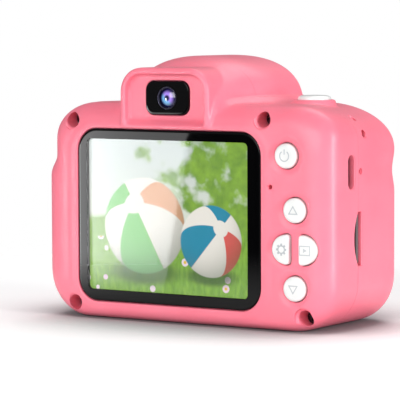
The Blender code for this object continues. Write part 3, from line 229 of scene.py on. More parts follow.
def lathe(profile, facing, at, steps=96, ring=False):
    """Profile of radius and height, spun about the way it faces."""
    spot = place(facing, at)
    shape = bmesh.new()
    verts = [shape.verts.new(spot(radius, 0, height)) for radius, height in profile]
    pairs = list(zip(verts, verts[1:])) + ([(verts[-1], verts[0])] if ring else [])
    edges = [shape.edges.new(pair) for pair in pairs]
    bmesh.ops.spin(
        shape, geom=verts + edges, cent=at, axis=AIM[facing][2],
        angle=2 * math.pi, steps=steps, use_merge=True,
    )
    bmesh.ops.remove_doubles(shape, verts=shape.verts, dist=0.001)
    bmesh.ops.recalc_face_normals(shape, faces=shape.faces)
    return shape


def block(low, high):
    """Box between two corners."""
    shape = bmesh.new()
    bmesh.ops.create_cube(shape, size=1.0)
    size = Vector(high) - Vector(low)
    bmesh.ops.scale(shape, vec=size, verts=shape.verts)
    bmesh.ops.translate(shape, vec=(Vector(high) + Vector(low)) / 2, verts=shape.verts)
    return shape


print("points in an eased corner:", len(eased([(0, 0), (1, 0), (1, 1)], 0.3)))

# %% [markdown]
# ## From a drawing to a finished piece
# The case flows from one form into the next, which a row of fillets would only roughly give. Its
# forms are instead melted into one skin with a voxel remesh and eased, and crisp holes are then cut
# with an exact Boolean. Dressing a piece turns it to metres, shades it, and says which body it
# rides on and which solids it stands for.

# %% From a drawing to a finished piece
def together(*shapes):
    """Several drawings as one."""
    whole = bmesh.new()
    for shape in shapes:
        mesh = bpy.data.meshes.new("part")
        shape.to_mesh(mesh)
        shape.free()
        whole.from_mesh(mesh)
        bpy.data.meshes.remove(mesh)
    return whole


def rough(name, shape):
    """Working object from a drawing."""
    mesh = bpy.data.meshes.new(name)
    shape.to_mesh(mesh)
    shape.free()
    made = bpy.data.objects.new(name, mesh)
    bpy.context.scene.collection.objects.link(made)
    return made


def bake(made):
    """Modifiers become the mesh."""
    graph = bpy.context.evaluated_depsgraph_get()
    mesh = bpy.data.meshes.new_from_object(made.evaluated_get(graph))
    made.modifiers.clear()
    old = made.data
    made.data = mesh
    bpy.data.meshes.remove(old)


def remeshed(made, voxel, rounds):
    """One skin of even quads, eased so that its edges are soft."""
    change = made.modifiers.new("remesh", "REMESH")
    change.mode = "VOXEL"
    change.voxel_size = voxel
    ease = made.modifiers.new("ease", "SMOOTH")
    ease.factor = 0.5
    ease.iterations = rounds
    bake(made)


def carve(made, operation, *shapes):
    """Exact Boolean with drawings that don't cross each other."""
    tool = rough("tool", together(*shapes))
    change = made.modifiers.new("carve", "BOOLEAN")
    change.operation = operation
    change.solver = "EXACT"
    change.object = tool
    bake(made)
    bpy.data.objects.remove(tool)


def dress(made, material, body, slot, *nodes, sharp=38):
    """Finished piece: metres, shading, material, the body it rides on and the solids it stands for."""
    made.data.transform(Matrix.Scale(MM, 4))
    made.data.materials.clear()
    made.data.materials.append(material)
    made.data.shade_smooth()
    made.data.set_sharp_from_angle(angle=math.radians(sharp))
    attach(made, body)
    if nodes:
        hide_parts(*nodes)
    return made


print("tools ready, millimetres to the metre:", round(1 / MM))

# %% [markdown]
# ## One function for every node
# A finish is a small graph of nodes. One function makes a node of any kind: what is a socket gets
# linked, and what is a value gets set. The second word of a kind is its mode, such as the operation
# of a sum. Colours are written as they look on screen and turned to linear light, which is what the
# nodes work in.

# %% One function for every node
MODE = {"Math": "operation", "VectorMath": "operation", "MapRange": "interpolation_type", "Mix": "data_type"}


def tone(text):
    """Linear colour from a hex colour."""
    channels = [int(text[i:i + 2], 16) / 255 for i in (1, 3, 5)]
    return tuple(c / 12.92 if c <= 0.04045 else ((c + 0.055) / 1.055) ** 2.4 for c in channels) + (1.0,)


def feed(node, *values, **named):
    """Inputs of a node, in their order or by name: a socket is linked, anything else is set."""
    sockets = [socket for socket in node.inputs if socket.enabled]
    pairs = list(zip(sockets, values))
    pairs += [(node.inputs[name.replace("_", " ")], value) for name, value in named.items()]
    for socket, value in pairs:
        if isinstance(value, bpy.types.NodeSocket):
            node.id_data.links.new(value, socket)
        else:
            socket.default_value = value


def add(tree, kind, *values, **named):
    """One node, and the first socket that it gives."""
    kind, _, mode = kind.partition(" ")
    made = tree.nodes.new("ShaderNode" + kind)
    if mode:
        setattr(made, MODE[kind], mode)
    feed(made, *values, **named)
    return next((socket for socket in made.outputs if socket.enabled), None)


def per_metre(size):
    """Features to the metre for a pattern of so many millimetres."""
    return 1 / (size * MM)


def start(name):
    """Empty material: its nodes, its surface and the object's own coordinates."""
    made = bpy.data.materials.new(name)
    made.use_nodes = True
    tree = made.node_tree
    tree.nodes.clear()
    face = add(tree, "BsdfPrincipled")
    add(tree, "OutputMaterial", face)
    return made, tree, face.node, add(tree, "TexCoord").node.outputs["Object"]


print("pink in linear light:", [round(channel, 3) for channel in tone("#fc8296")])

# %% [markdown]
# ## Plastics, inks and metals
# The case is ABS from a satin mould, the keys are ABS from a polished one, and the marks are pad-
# printed ink. Each could be one flat colour. Real mouldings drift a little in tone and gloss, so a
# finish here mixes two near colours over soft noise of some 14 mm, and a fine grain breaks up its
# gloss. A true mould grain of about 0.02 mm is too fine to show, so it is drawn as coarse as it
# needs to be.

# %% Plastics, inks and metals
DRIFT_SIZE, DRIFT_DETAIL, BUMP_HEIGHT = 14.286, 3.0, 0.2
CLEAR_COAT_ROUGHNESS = 0.12


def moulded(name, light, dark, gloss, grain, depth, coat=0.0, metal=0.0, stretch=(1, 1, 1)):
    """Plastic or metal that drifts in tone and gloss, with a grain of so many millimetres."""
    made, tree, surface, where = start(name)
    drift = add(tree, "TexNoise", where, per_metre(DRIFT_SIZE), DRIFT_DETAIL)
    shade = add(tree, "MapRange SMOOTHSTEP", drift, 0.3, 0.7)
    fine = add(tree, "TexNoise", add(tree, "Mapping", where, Scale=stretch), per_metre(grain))
    feed(
        surface,
        Base_Color=add(tree, "Mix RGBA", shade, tone(light), tone(dark)),
        Roughness=add(tree, "MapRange SMOOTHSTEP", fine, 0.2, 0.8, gloss * 0.88, gloss * 1.12),
        Normal=add(tree, "Bump", Strength=depth, Distance=BUMP_HEIGHT * MM, Height=fine),
        Metallic=metal, Coat_Weight=coat, Coat_Roughness=CLEAR_COAT_ROUGHNESS,
    )
    return made


# A broad soft sheen, and a little light that travels under the skin and warms the edges.
PINK = moulded("pink_abs_satin_mould", "#fc8296", "#fb7b90", 0.42, 0.385, 0.025, 0.06)
feed(PINK.node_tree.nodes["Principled BSDF"], Subsurface_Weight=0.12, Subsurface_Radius=(1.0, 0.5, 0.45),
     Subsurface_Scale=1.2 * MM)
# A tighter sheen than the case's, with crisp small lights on the rounded edges.
WHITE = moulded("white_abs_gloss_mould", "#eceeec", "#e6e8e6", 0.30, 0.385, 0.02, 0.2)
# Flat and pale, so that the marks stay faint.
INK = moulded("grey_pad_print_ink", "#c0c5c8", "#b6bbbf", 0.5, 0.1667, 0.05)
# Dull black that swallows light, as a baffle should.
BLACK = moulded("black_abs_fine_spark_mould", "#17181a", "#0f1011", 0.55, 0.2, 0.12)
# Dark metal that only glints where light falls down the well.
SCREW = moulded("black_zinc_cross_head_screw", "#56484c", "#3a3235", 0.42, 0.333, 0.1, 0.0, 1.0)
# Bright sheet with faint draw lines along its height.
STEEL = moulded("tinned_steel_stamping", "#c9cacd", "#b4b6ba", 0.3, 1.111, 0.06, 0.0, 1.0, (1, 1, 12))
# Soft metal sheen with a pressed pebble pattern.
FOIL = moulded("pouch_cell_foil_embossed", "#d3d5d8", "#bcc0c4", 0.42, 0.667, 0.25, 0.0, 0.8)
# Warm, smooth film with a clear gloss.
AMBER = moulded("amber_polyimide_film", "#c98a2b", "#b5761d", 0.28, 1.111, 0.03, 0.2)
# Smooth, slightly waxy sleeves.
RED_WIRE = moulded("red_pvc_wire_sleeve", "#c72620", "#a81c18", 0.4, 0.333, 0.04)
BLACK_WIRE = moulded("black_pvc_wire_sleeve", "#1d1d1f", "#131315", 0.4, 0.333, 0.04)
# Milky window with upright ribs that spread the flash.
DIFFUSER = moulded("frosted_flash_lens", "#f3f2ec", "#e6e5de", 0.22, 2.0, 0.3, 0.3, 0.0, (6, 1, 0.2))
# Dark ring with a soft metal edge.
RING = moulded("dark_anodised_ring", "#2b2a3c", "#201f2e", 0.3, 0.25, 0.05, 0.0, 0.7)
# Dull graphite moulding.
MEMORY_CARD = moulded("graphite_card_moulding", "#6a6364", "#5d5758", 0.5, 0.25, 0.06)
print("finishes so far:", len(bpy.data.materials))

# %% [markdown]
# ## Board
# The board is glass fibre with copper traces under green lacquer. The traces could be modelled, but
# they are only some hundredths of a millimetre high, so a brick pattern draws them and lifts them
# with a bump, a little higher than real ones so that they show.

# %% Board
TRACE_GRID, TRACE_HEIGHT = 2.381, 0.1


def board_finish():
    """Green lacquer over a net of traces."""
    made, tree, surface, where = start("green_solder_mask_on_glass_fibre")
    turned = add(tree, "Mapping", where, Rotation=(math.pi / 2, 0, 0))
    lines = add(
        tree, "TexBrick", turned, tone("#0f5a34"), tone("#12633b"), tone("#2f8a58"),
        Scale=per_metre(TRACE_GRID), Mortar_Size=0.03,
    )
    bump = add(tree, "Bump", Strength=0.3, Distance=TRACE_HEIGHT * MM, Height=lines.node.outputs["Fac"])
    feed(surface, Base_Color=lines, Normal=bump, Roughness=0.3)
    return made


BOARD = board_finish()
print("board finish:", BOARD.name)

# %% [markdown]
# ## Cover glasses
# The screen's cover is one sheet of gloss plastic, printed black on its inner face round a clear
# window. The print could be a second sheet, but two faces a hair apart flicker, so one finish does
# both: it measures how far a point is from the window's middle, and is clear inside a rounded
# rectangle and black outside it.

# %% Cover glasses
GLASS_IOR, DULL, SMEAR_SIZE = 1.52, 0.4, 3.846
CLEAR_W, CLEAR_H, CLEAR_AT = 43.9, 35.1, (-4.15, 24.4)
ALL_CLEAR = 60.0


def span(tree, first, second):
    """Length of the slope over two sides."""
    squares = [add(tree, "Math MULTIPLY", side, side) for side in (first, second)]
    return add(tree, "Math SQRT", add(tree, "Math ADD", *squares))


def cover_glass(name, width, height, middle, corner=1.1):
    """Gloss sheet, clear inside a rounded rectangle and printed black outside it."""
    made, tree, surface, where = start(name)
    apart = add(tree, "SeparateXYZ", where).node.outputs
    past = []
    for along, centre, size in ((apart["X"], middle[0], width), (apart["Z"], middle[1], height)):
        away = add(tree, "Math ABSOLUTE", add(tree, "Math SUBTRACT", along, centre * MM))
        beyond = add(tree, "Math SUBTRACT", away, (size / 2 - corner) * MM)
        past.append(add(tree, "Math MAXIMUM", beyond, 0.0))
    inside = add(tree, "Math LESS_THAN", span(tree, *past), corner * MM)
    smear = add(tree, "TexNoise", where, per_metre(SMEAR_SIZE))
    feed(
        surface,
        Base_Color=add(tree, "Mix RGBA", smear, tone("#040405"), tone("#060607")),
        Roughness=add(tree, "MapRange SMOOTHSTEP", smear, 0.3, 0.8, 0.02, 0.03),
        IOR=GLASS_IOR, Specular_IOR_Level=0.5 * DULL,
    )
    clear = add(tree, "BsdfTransparent", tone("#f4f6f7"))
    shine = add(tree, "BsdfGlossy", (1, 1, 1, 1), 0.02)
    facing = add(tree, "Math MULTIPLY", add(tree, "Fresnel", GLASS_IOR), DULL)
    sheet = add(tree, "MixShader", facing, clear, shine)
    feed(tree.nodes["Material Output"], add(tree, "MixShader", inside, surface.outputs[0], sheet))
    return made


SCREEN_GLASS = cover_glass("screen_cover_glass_black_print", CLEAR_W, CLEAR_H, CLEAR_AT)
SELFIE_GLASS = cover_glass("eyepiece_cover_glass_black_print", 0.0, 0.0, (AXIS, SELFIE_Z))
FRONT_GLASS = cover_glass("lens_cover_glass_clear", ALL_CLEAR, ALL_CLEAR, (AXIS, LENS_Z))
print("clear part of the screen's cover:", CLEAR_W, "by", CLEAR_H, "mm")

# %% [markdown]
# ## Coated lenses
# A lens has a thin coating that gives back blue and violet light. A thin film could be reckoned
# from its thickness, but the colours are wanted in one place, so they are a painted reflection: a
# ramp from the axis to the rim draws a bright band, a slanted blend turns it from blue at its lower
# left to violet at its upper right, and the band glows a little.

# %% Coated lenses
PAINTED_REFLECTION_BAND = ((0.0, "#000000"), (0.22, "#202020"), (0.42, "#ffffff"), (0.62, "#d0d0d0"),
        (0.86, "#303030"), (1.0, "#000000"))
SLANT, DUST_SIZE = (0.7, 0.0, 0.7), 0.333


def coated_lens(name, middle, radius):
    """Gloss lens with a painted reflection: a tinted bright band round its middle that glows a little."""
    made, tree, surface, where = start(name)
    from_axis = add(tree, "VectorMath SUBTRACT", where, tuple(value * MM for value in middle))
    reach = add(tree, "Math DIVIDE", add(tree, "VectorMath LENGTH", from_axis), radius * MM)
    slant = add(tree, "Math DIVIDE", add(tree, "VectorMath DOT_PRODUCT", from_axis, SLANT), radius * MM)
    turned = add(tree, "MapRange SMOOTHSTEP", slant, -0.35, 0.15)
    tint = add(tree, "Mix RGBA", turned, tone("#6fb0e2"), tone("#a585ec"))
    ramp = add(tree, "ValToRGB", reach)
    points = ramp.node.color_ramp.elements
    while len(points) < len(PAINTED_REFLECTION_BAND):
        points.new(0.5)
    for point, (at, grey) in zip(points, PAINTED_REFLECTION_BAND):
        point.position = at
        point.color = tone(grey)
    # Painted reflection: the band and its blue-to-violet blend are colour, and they feed the emission too.
    colour = add(tree, "Mix RGBA", ramp, tone("#100c3c"), tint)
    dust = add(tree, "TexNoise", where, per_metre(DUST_SIZE))
    feed(
        surface, Base_Color=colour, Emission_Color=colour, Emission_Strength=0.3,
        Roughness=add(tree, "MapRange SMOOTHSTEP", dust, 0.3, 0.8, 0.04, 0.1),
        Coat_Weight=0.6, Coat_Roughness=0.03,
    )
    return made


SELFIE_COAT = coated_lens("coated_lens_small", (AXIS, -20.9, SELFIE_Z), 2.1)
FRONT_COAT = coated_lens("coated_lens_front", (AXIS, FRONT, LENS_Z), 4.3)
print("coated lenses:", SELFIE_COAT.name, "and", FRONT_COAT.name)

# %% [markdown]
# ## The picture on the screen
# The screen is a lit panel. What it shows could be a picture file, but this file stands alone, so
# the picture is drawn from coordinates: a meadow under a pale sky, with soft trees, flowers and two
# beach balls. u runs from 0 to 1 across the panel and v from 0 to 1 up it. First come sky, trees,
# grass and flowers.

# %% The meadow
LEAF_SIZE, CLUMP_SIZE, BLADE_SIZE, FLOWER_SIZE = 5.263, 2.381, 0.6667, 3.846
HILL_HEIGHT, HILL_SWELL, HILL_TURNS, HILL_START = 0.46, 0.045, 5.0, 0.7
PETAL_REACH, HEART_REACH, FLOWER_LINE = 0.24, 0.10, 0.36


def meadow(tree, where, u, v):
    """Colour of the meadow without its balls."""
    height = add(tree, "MapRange SMOOTHSTEP", v, 0.35, 1.0)
    sky = add(tree, "Mix RGBA", height, tone("#eceedd"), tone("#dbe1dc"))
    leaves = add(tree, "TexNoise", where, per_metre(LEAF_SIZE), 3.0)
    denser = add(tree, "Math MULTIPLY", add(tree, "Math SUBTRACT", u, 0.55), 0.55)
    crown = add(tree, "MapRange SMOOTHSTEP", add(tree, "Math ADD", leaves, denser), 0.44, 0.62)
    clumps = add(tree, "TexNoise", where, per_metre(CLUMP_SIZE))
    green = add(tree, "Mix RGBA", clumps, tone("#a5cf3c"), tone("#4c7f2a"))
    scene = add(tree, "Mix RGBA", crown, sky, green)
    turn = add(tree, "Math ADD", add(tree, "Math MULTIPLY", u, HILL_TURNS), HILL_START)
    swell = add(tree, "Math MULTIPLY", add(tree, "Math SINE", turn), HILL_SWELL)
    hill = add(tree, "Math ADD", swell, HILL_HEIGHT)
    under = add(tree, "MapRange SMOOTHSTEP", add(tree, "Math SUBTRACT", hill, v), -0.02, 0.03)
    upright = add(tree, "Mapping", where, Scale=(1.0, 1.0, 0.28))
    blades = add(tree, "TexNoise", upright, per_metre(BLADE_SIZE), 3.0)
    grass = add(tree, "Mix RGBA", blades, tone("#3f7f14"), tone("#a9d545"))
    scene = add(tree, "Mix RGBA", under, scene, grass)
    cells = add(tree, "TexVoronoi", where, per_metre(FLOWER_SIZE))
    petals = add(tree, "Mix RGBA", cells.node.outputs["Color"], tone("#ffffff"), tone("#f7c6dc"))
    heart = add(tree, "Math LESS_THAN", cells, HEART_REACH)
    low_down = add(tree, "Math LESS_THAN", v, FLOWER_LINE)
    bloom = add(tree, "Math MULTIPLY", add(tree, "Math LESS_THAN", cells, PETAL_REACH), low_down)
    return add(tree, "Mix RGBA", bloom, scene, add(tree, "Mix RGBA", heart, petals, tone("#f5c832")))


print("flowers are", FLOWER_SIZE, "mm apart on the panel")

# %% [markdown]
# ## Two beach balls
# A ball's face is a half sphere seen straight on, so its normal follows from u and v. The angle of
# that normal about a leaning pole gives the coloured panels, and its share towards the sun gives
# the shade.

# %% Two beach balls
BALLS = (
    (0.34, 0.44, 0.31, (-0.25, 0.45, 0.8), ("#7fd06c", "#fdf5ea", "#f3b387")),
    (0.75, 0.36, 0.23, (0.30, 0.35, 0.8), ("#1692b2", "#fff6ea", "#ef5b52")),
)
SUN = (-0.35, 0.65, 0.68)


def beach_ball(tree, scene, u, v, across, up, radius, lean, colours):
    """Colour of the picture with one ball and its shadow in it."""
    du = add(tree, "Math DIVIDE", add(tree, "Math SUBTRACT", u, across), radius * VIEW_H / VIEW_W)
    dv = add(tree, "Math DIVIDE", add(tree, "Math SUBTRACT", v, up), radius)
    away = span(tree, du, dv)
    near = span(tree, du, add(tree, "Math MULTIPLY", add(tree, "Math ADD", dv, 0.97), 3.2))
    shadow = add(tree, "MapRange SMOOTHSTEP", near, 0.5, 1.1, 0.75, 0.0)
    scene = add(tree, "Mix RGBA", shadow, scene, tone("#22480f"))
    left = add(tree, "Math SUBTRACT", 1.0, add(tree, "Math MULTIPLY", away, away))
    normal = add(tree, "CombineXYZ", du, dv, add(tree, "Math SQRT", add(tree, "Math MAXIMUM", left, 0.0)))
    pole = Vector(lean).normalized()
    first = pole.cross(Vector((0, 0, 1))).normalized()
    ways = (first, pole.cross(first), pole, SUN)
    shares = [add(tree, "VectorMath DOT_PRODUCT", normal, tuple(way)) for way in ways]
    turn = add(tree, "Math ARCTAN2", shares[0], shares[1])
    half = add(tree, "MapRange SMOOTHSTEP", add(tree, "Math SINE", turn), -0.02, 0.02)
    bright = add(tree, "Mix RGBA", half, tone(colours[0]), tone(colours[2]))
    panel = add(tree, "Math SINE", add(tree, "Math MULTIPLY", turn, 3.0))
    stripe = add(tree, "MapRange SMOOTHSTEP", panel, -0.06, 0.06)
    striped = add(tree, "Mix RGBA", stripe, bright, tone(colours[1]))
    cap = add(tree, "MapRange SMOOTHSTEP", shares[2], 0.965, 0.972)
    striped = add(tree, "Mix RGBA", cap, striped, tone(colours[1]))
    shade = add(tree, "MapRange SMOOTHSTEP", shares[3], 0.8, -0.6, 0.0, 0.55)
    striped = add(tree, "Mix RGBA", shade, striped, tone("#39502c"))
    return add(tree, "Mix RGBA", add(tree, "MapRange SMOOTHSTEP", away, 1.02, 0.98), scene, striped)


def picture():
    """Lit panel that shows the meadow and the balls."""
    made, tree, surface, where = start("lit_lcd_panel")
    apart = add(tree, "SeparateXYZ", where).node.outputs
    low_x, low_z = (GLASS_X - VIEW_W / 2) * MM, (GLASS_Z - VIEW_H / 2) * MM
    u = add(tree, "Math DIVIDE", add(tree, "Math SUBTRACT", apart["X"], low_x), VIEW_W * MM)
    v = add(tree, "Math DIVIDE", add(tree, "Math SUBTRACT", apart["Z"], low_z), VIEW_H * MM)
    scene = meadow(tree, where, u, v)
    for ball in BALLS:
        scene = beach_ball(tree, scene, u, v, *ball)
    feed(surface, Emission_Color=scene, Emission_Strength=1.0, Base_Color=tone("#0b0c0d"), Roughness=0.5)
    return made


PICTURE = picture()
print("nodes in the picture:", len(PICTURE.node_tree.nodes))

# %% [markdown]
# ## The body of the case
# The case is two injection-moulded shells that meet at a seam. Its body is a rounded box whose
# upper corners soften towards the front, whose left side steps in near the top, and whose right
# side has a shallow groove. A box with bevels can't change along its depth like that, so the body
# is lofted from sections, one for each depth.

# %% The body of the case
BOTTOM_CORNER = 10.8
TOP_REAR, TOP_FRONT = (11.0, 7.5), (18.0, 10.0)
WAIST_LOW, WAIST_HIGH = 33.5, 38.5
WAIST_Y, WAIST_FADE = -16.2, 4.2
WAIST_REAR, WAIST_FRONT = 2.2, 0.4
GROOVE, GROOVE_RUN, GROOVE_LOW, GROOVE_HIGH = 0.62, 15.0, 30.4, 40.2
SIDE_STEPS, EDGE_STEPS, DEPTH_STEPS = 24, 14, 25
REAR_EDGE, FRONT_EDGE = (6.6, 2.2, 5.3), (5.5, 3.0, 4.5)
EDGE_DEPTH = 5.0


def waist(y):
    """How far the upper left side steps in at a depth."""
    return WAIST_REAR + (WAIST_FRONT - WAIST_REAR) * smooth((y - WAIST_Y) / WAIST_FADE)


def top_corner(y):
    """Width and height of the upper corners, which are softer towards the front."""
    begin = REAR + EDGE_DEPTH
    part = smooth((y - begin) / (FRONT - EDGE_DEPTH - begin))
    return [rear + (front - rear) * part for rear, front in zip(TOP_REAR, TOP_FRONT)]


def body_section(y, inset, rounding, shrink):
    """Outline of the case at a depth, drawn in by the edge rounding."""
    half_width = RIGHT - inset
    wide, tall = top_corner(y)
    sides = []
    groove = GROOVE * smooth((y - SEAM) / GROOVE_RUN)
    for step_in, dent in ((0.0, groove), (waist(y) * (1 - shrink), 0.0)):
        half = arc((RIGHT - BOTTOM_CORNER, BOTTOM_CORNER), BOTTOM_CORNER - inset, -90, 0, 12)
        for step in range(SIDE_STEPS + 1):
            part = step / SIDE_STEPS
            z = GROOVE_LOW + (GROOVE_HIGH - GROOVE_LOW) * part
            drawn = step_in * smooth((z - WAIST_LOW) / (WAIST_HIGH - WAIST_LOW))
            half.append((half_width - drawn - dent * math.sin(math.pi * part) ** 2, z))
        for across, up in arc((0, 0), 1.0, 0, 90, 16):
            x = RIGHT - step_in - wide + (wide - inset) * across
            half.append((x, SHOULDER - tall + (tall - inset) * up))
        sides.append(half)
    narrow = (half_width - rounding[0] * shrink) / half_width
    low = inset + rounding[1] * shrink
    high = SHOULDER - inset - rounding[2] * shrink
    squeeze = (high - low) / (SHOULDER - 2 * inset)
    whole = sides[0] + [(-x, z) for x, z in reversed(sides[1])]
    return [Vector((x * narrow, y, low + (z - inset) * squeeze)) for x, z in whole]


def body(inset, rear, front):
    """Case without its hump, lofted from its back to its front."""
    rear_edge = [max(size - inset, FIT) for size in REAR_EDGE]
    front_edge = [max(size - inset, FIT) for size in FRONT_EDGE]
    depth = EDGE_DEPTH - inset
    turns = [math.pi / 2 * step / EDGE_STEPS for step in range(EDGE_STEPS + 1)]
    loops = []
    for t in turns:
        y = rear + depth * (1 - math.cos(t))
        loops.append(body_section(y, inset, rear_edge, 1 - math.sin(t)))
    for step in range(1, DEPTH_STEPS):
        y = rear + depth + (front - rear - 2 * depth) * step / DEPTH_STEPS
        loops.append(body_section(y, inset, rear_edge, 0.0))
    for t in reversed(turns):
        y = front - depth * (1 - math.cos(t))
        loops.append(body_section(y, inset, front_edge, 1 - math.sin(t)))
    return loft(loops)


print("points in a section:", len(body_section(SEAM, 0.0, REAR_EDGE, 0.0)))

# %% [markdown]
# ## The hump and the hood
# Above the body rises a crowned hump with a viewfinder hood behind it. A sphere could be squashed
# to a hump, but it would not keep the long slope at the back, so the hump is lofted too, with a
# small fillet at its foot that follows the fall of the shoulder. The hood is an arch of straight
# sides and rounded corners.

# %% The hump and the hood
HUMP_TOP, HUMP_REAR_HALF, HUMP_HALF = 61.0, 13.6, 18.5
HUMP_POWER, HUMP_FOOT, HUMP_CREST, HUMP_START = 2.3, 5.0, 16.7, 0.9
HUMP_ROUND, HUMP_FRONT, HUMP_FLAT = 3.5, 11.3, 5.0
HOOD_REAR, HOOD_HALF, HOOD_TOP, HOOD_CORNER = -22.5, 12.1, 58.5, 5.5
HOOD_RIM, HOOD_FACE = 1.45, -20.6


def body_top(y):
    """Height of the shoulder at a depth, which falls towards the back and the front."""
    back = min(max((REAR + EDGE_DEPTH - y) / EDGE_DEPTH, 0.0), 1.0)
    ahead = min(max((y - FRONT + EDGE_DEPTH) / EDGE_DEPTH, 0.0), 1.0)
    fall = REAR_EDGE[2] * (1 - math.sqrt(1 - back * back))
    return SHOULDER - fall - FRONT_EDGE[2] * (1 - math.sqrt(1 - ahead * ahead))


def corner_fall(x, y):
    """How far the shoulder has fallen at a place because of its rounded corner."""
    wide, tall = top_corner(y)
    past = min(max((abs(x) - RIGHT + waist(y) + wide) / wide, 0.0), 1.0)
    return tall * (1 - math.sqrt(1 - past * past))


def hump_section(y, top, foot, half, inset):
    """Crowned arch with a small fillet at its foot."""
    half -= inset
    rise = top - foot
    fillet = min(HUMP_FOOT, rise * 0.4)
    outline = [(half + fillet, foot - 6.0)] + arc((half + fillet, foot + fillet), fillet, 270, 216, 6)
    for step in range(1, 29):
        angle = math.pi / 2 * step / 28
        x = half * max(math.cos(angle), 0.0) ** (2 / HUMP_POWER)
        outline.append((x, foot + rise * math.sin(angle) ** (2 / HUMP_POWER)))
    outline[-1] = (half * 0.02, top)
    points = []
    for x, z in outline + [(-x, z) for x, z in reversed(outline)]:
        sunk = corner_fall(AXIS + x, y) if z < foot + fillet else 0.0
        points.append(Vector((AXIS + x, y, z - sunk)))
    return points


def hump(inset):
    """Hump from its rear slope to its front."""
    first, crest, front = REAR + HUMP_START, REAR + HUMP_CREST, HUMP_FRONT - inset
    low = body_top(first)
    stations = []
    for step in range(1, 25):
        angle = math.pi / 2 * step / 24
        y = crest - (HUMP_CREST - HUMP_START) * math.cos(angle)
        top = low + (HUMP_TOP - low) * math.sin(angle)
        stations.append((y + inset * math.cos(angle), top - inset * max(math.sin(angle), 0.5), 0.0))
    for step in range(1, 6):
        stations.append((crest + HUMP_FLAT * step / 5, HUMP_TOP - inset, 0.0))
    for step in range(9):
        angle = math.pi / 2 * (8 - step) / 8
        draw = HUMP_ROUND * (1 - math.sin(angle))
        stations.append((front - HUMP_ROUND * (1 - math.cos(angle)), HUMP_TOP - inset - draw, draw))
    loops = []
    for y, top, draw in stations:
        spread = smooth((y - first) / (crest + HUMP_FLAT - first))
        half = HUMP_REAR_HALF + (HUMP_HALF - HUMP_REAR_HALF) * spread - draw
        loops.append(hump_section(y, top, min(body_top(y), top - 1.2) - inset, half, inset))
    return loft(loops)


def hood_outline(inset, low):
    """Arch of the viewfinder hood about its axis, from a low edge up."""
    half, corner = HOOD_HALF - inset, HOOD_CORNER - inset
    right = [(half, low)] + arc((half - corner, HOOD_TOP - inset - corner), corner, 0, 90, 12)
    return right + [(-x, z) for x, z in reversed(right)]


print("shoulder at the seam:", round(body_top(SEAM), 1), "mm high")

# %% [markdown]
# ## One skin
# On the real case the body, the hump, the hood, the shutter's collar and a faint raised band round
# the screen flow into each other. They could be joined with Booleans and filleted, but the fillets
# would cross, so all five overlap and are melted into one skin of small even quads.

# %% One skin
SHUTTER_X, SHUTTER_Y, SHUTTER_R, COLLAR_R, COLLAR_Z = 24.7, -3.8, 3.8, 4.9, 51.3
SKIN_VOXEL, SKIN_ROUNDS = 0.36, 4
hood = stack(hood_outline(0, SHOULDER - 5.5), [(-10.5, 0)] + edge(0.0, 0.5), "back", (AXIS, HOOD_REAR, 0))
collar_profile = [(0, -1.8), (COLLAR_R, -1.8), (COLLAR_R, 0.9), (0, 1.0)]
collar = lathe(collar_profile, "up", (SHUTTER_X, SHUTTER_Y, SHOULDER))
band = stack(rounded(GLASS_W + 4.6, GLASS_H + 3.4, GLASS_CORNER + 2.0), [(-1.0, 0.4), (0.22, 0)],
             "back", (GLASS_X, REAR, GLASS_Z - 0.3))
skin = rough("skin", together(body(0.0, REAR, FRONT), hump(0.0), hood, collar, band))
remeshed(skin, SKIN_VOXEL, SKIN_ROUNDS)
print("skin:", len(skin.data.polygons), "faces")

# %% [markdown]
# ## Shallow forms in the skin
# The hood has a recess for the eyepiece, and each key sits in a shallow dish that guides a finger.
# Cut with crisp edges they would look stamped, so they are cut first and melted once more, which
# leaves soft rims.

# %% Shallow forms in the skin
KEY_X, KEY_R = 30.0, 2.8
KEYS = {"power": (27.8, 39.3), "up": (30.0, 27.3), "down": (30.0, 9.9)}
HALF_Z, PAIR_WIDE, PAIR_TALL, PAIR_STEPS = 18.6, 6.9, 5.1, 72
RECESS = ((-1.9, 46.7), (0.0, 45.1), (3.0, 44.0))
DISH_VOXEL, DISH_ROUNDS = 0.34, 7
spot = place("back", (AXIS, HOOD_REAR, 0))
recess = []
for out, low in RECESS:
    recess.append([spot(u, v, out) for u, v in hood_outline(HOOD_RIM, low)])
dishes = [loft(recess)]
for x, z in KEYS.values():
    dishes.append(lathe([(0, -0.75), (KEY_R, -0.62), (KEY_R + 1.5, 0.0), (KEY_R + 3.0, 2.0), (0, 2.0)],
                        "back", (x, REAR, z)))
turns = [math.tau * step / PAIR_STEPS for step in range(PAIR_STEPS)]
pair = [(PAIR_WIDE * math.cos(t), PAIR_TALL * math.sin(t)) for t in turns]
dishes.append(stack(pair, [(-0.55, -1.6), (0.0, 0.0), (2.0, 1.5)], "back", (KEY_X, REAR, HALF_Z)))
for dish in dishes:
    carve(skin, "DIFFERENCE", dish)
remeshed(skin, DISH_VOXEL, DISH_ROUNDS)
print("skin with its recess and dishes:", len(skin.data.polygons), "faces")

# %% [markdown]
# ## The hollow
# The shells are about 2 mm thick, with solid posts for the screws and a block that the strap hole
# runs through. A Solidify modifier would also thicken every rim and dish, so the hollow is drawn
# from the same sections, a wall's thickness smaller, turned inside out and put inside the skin.

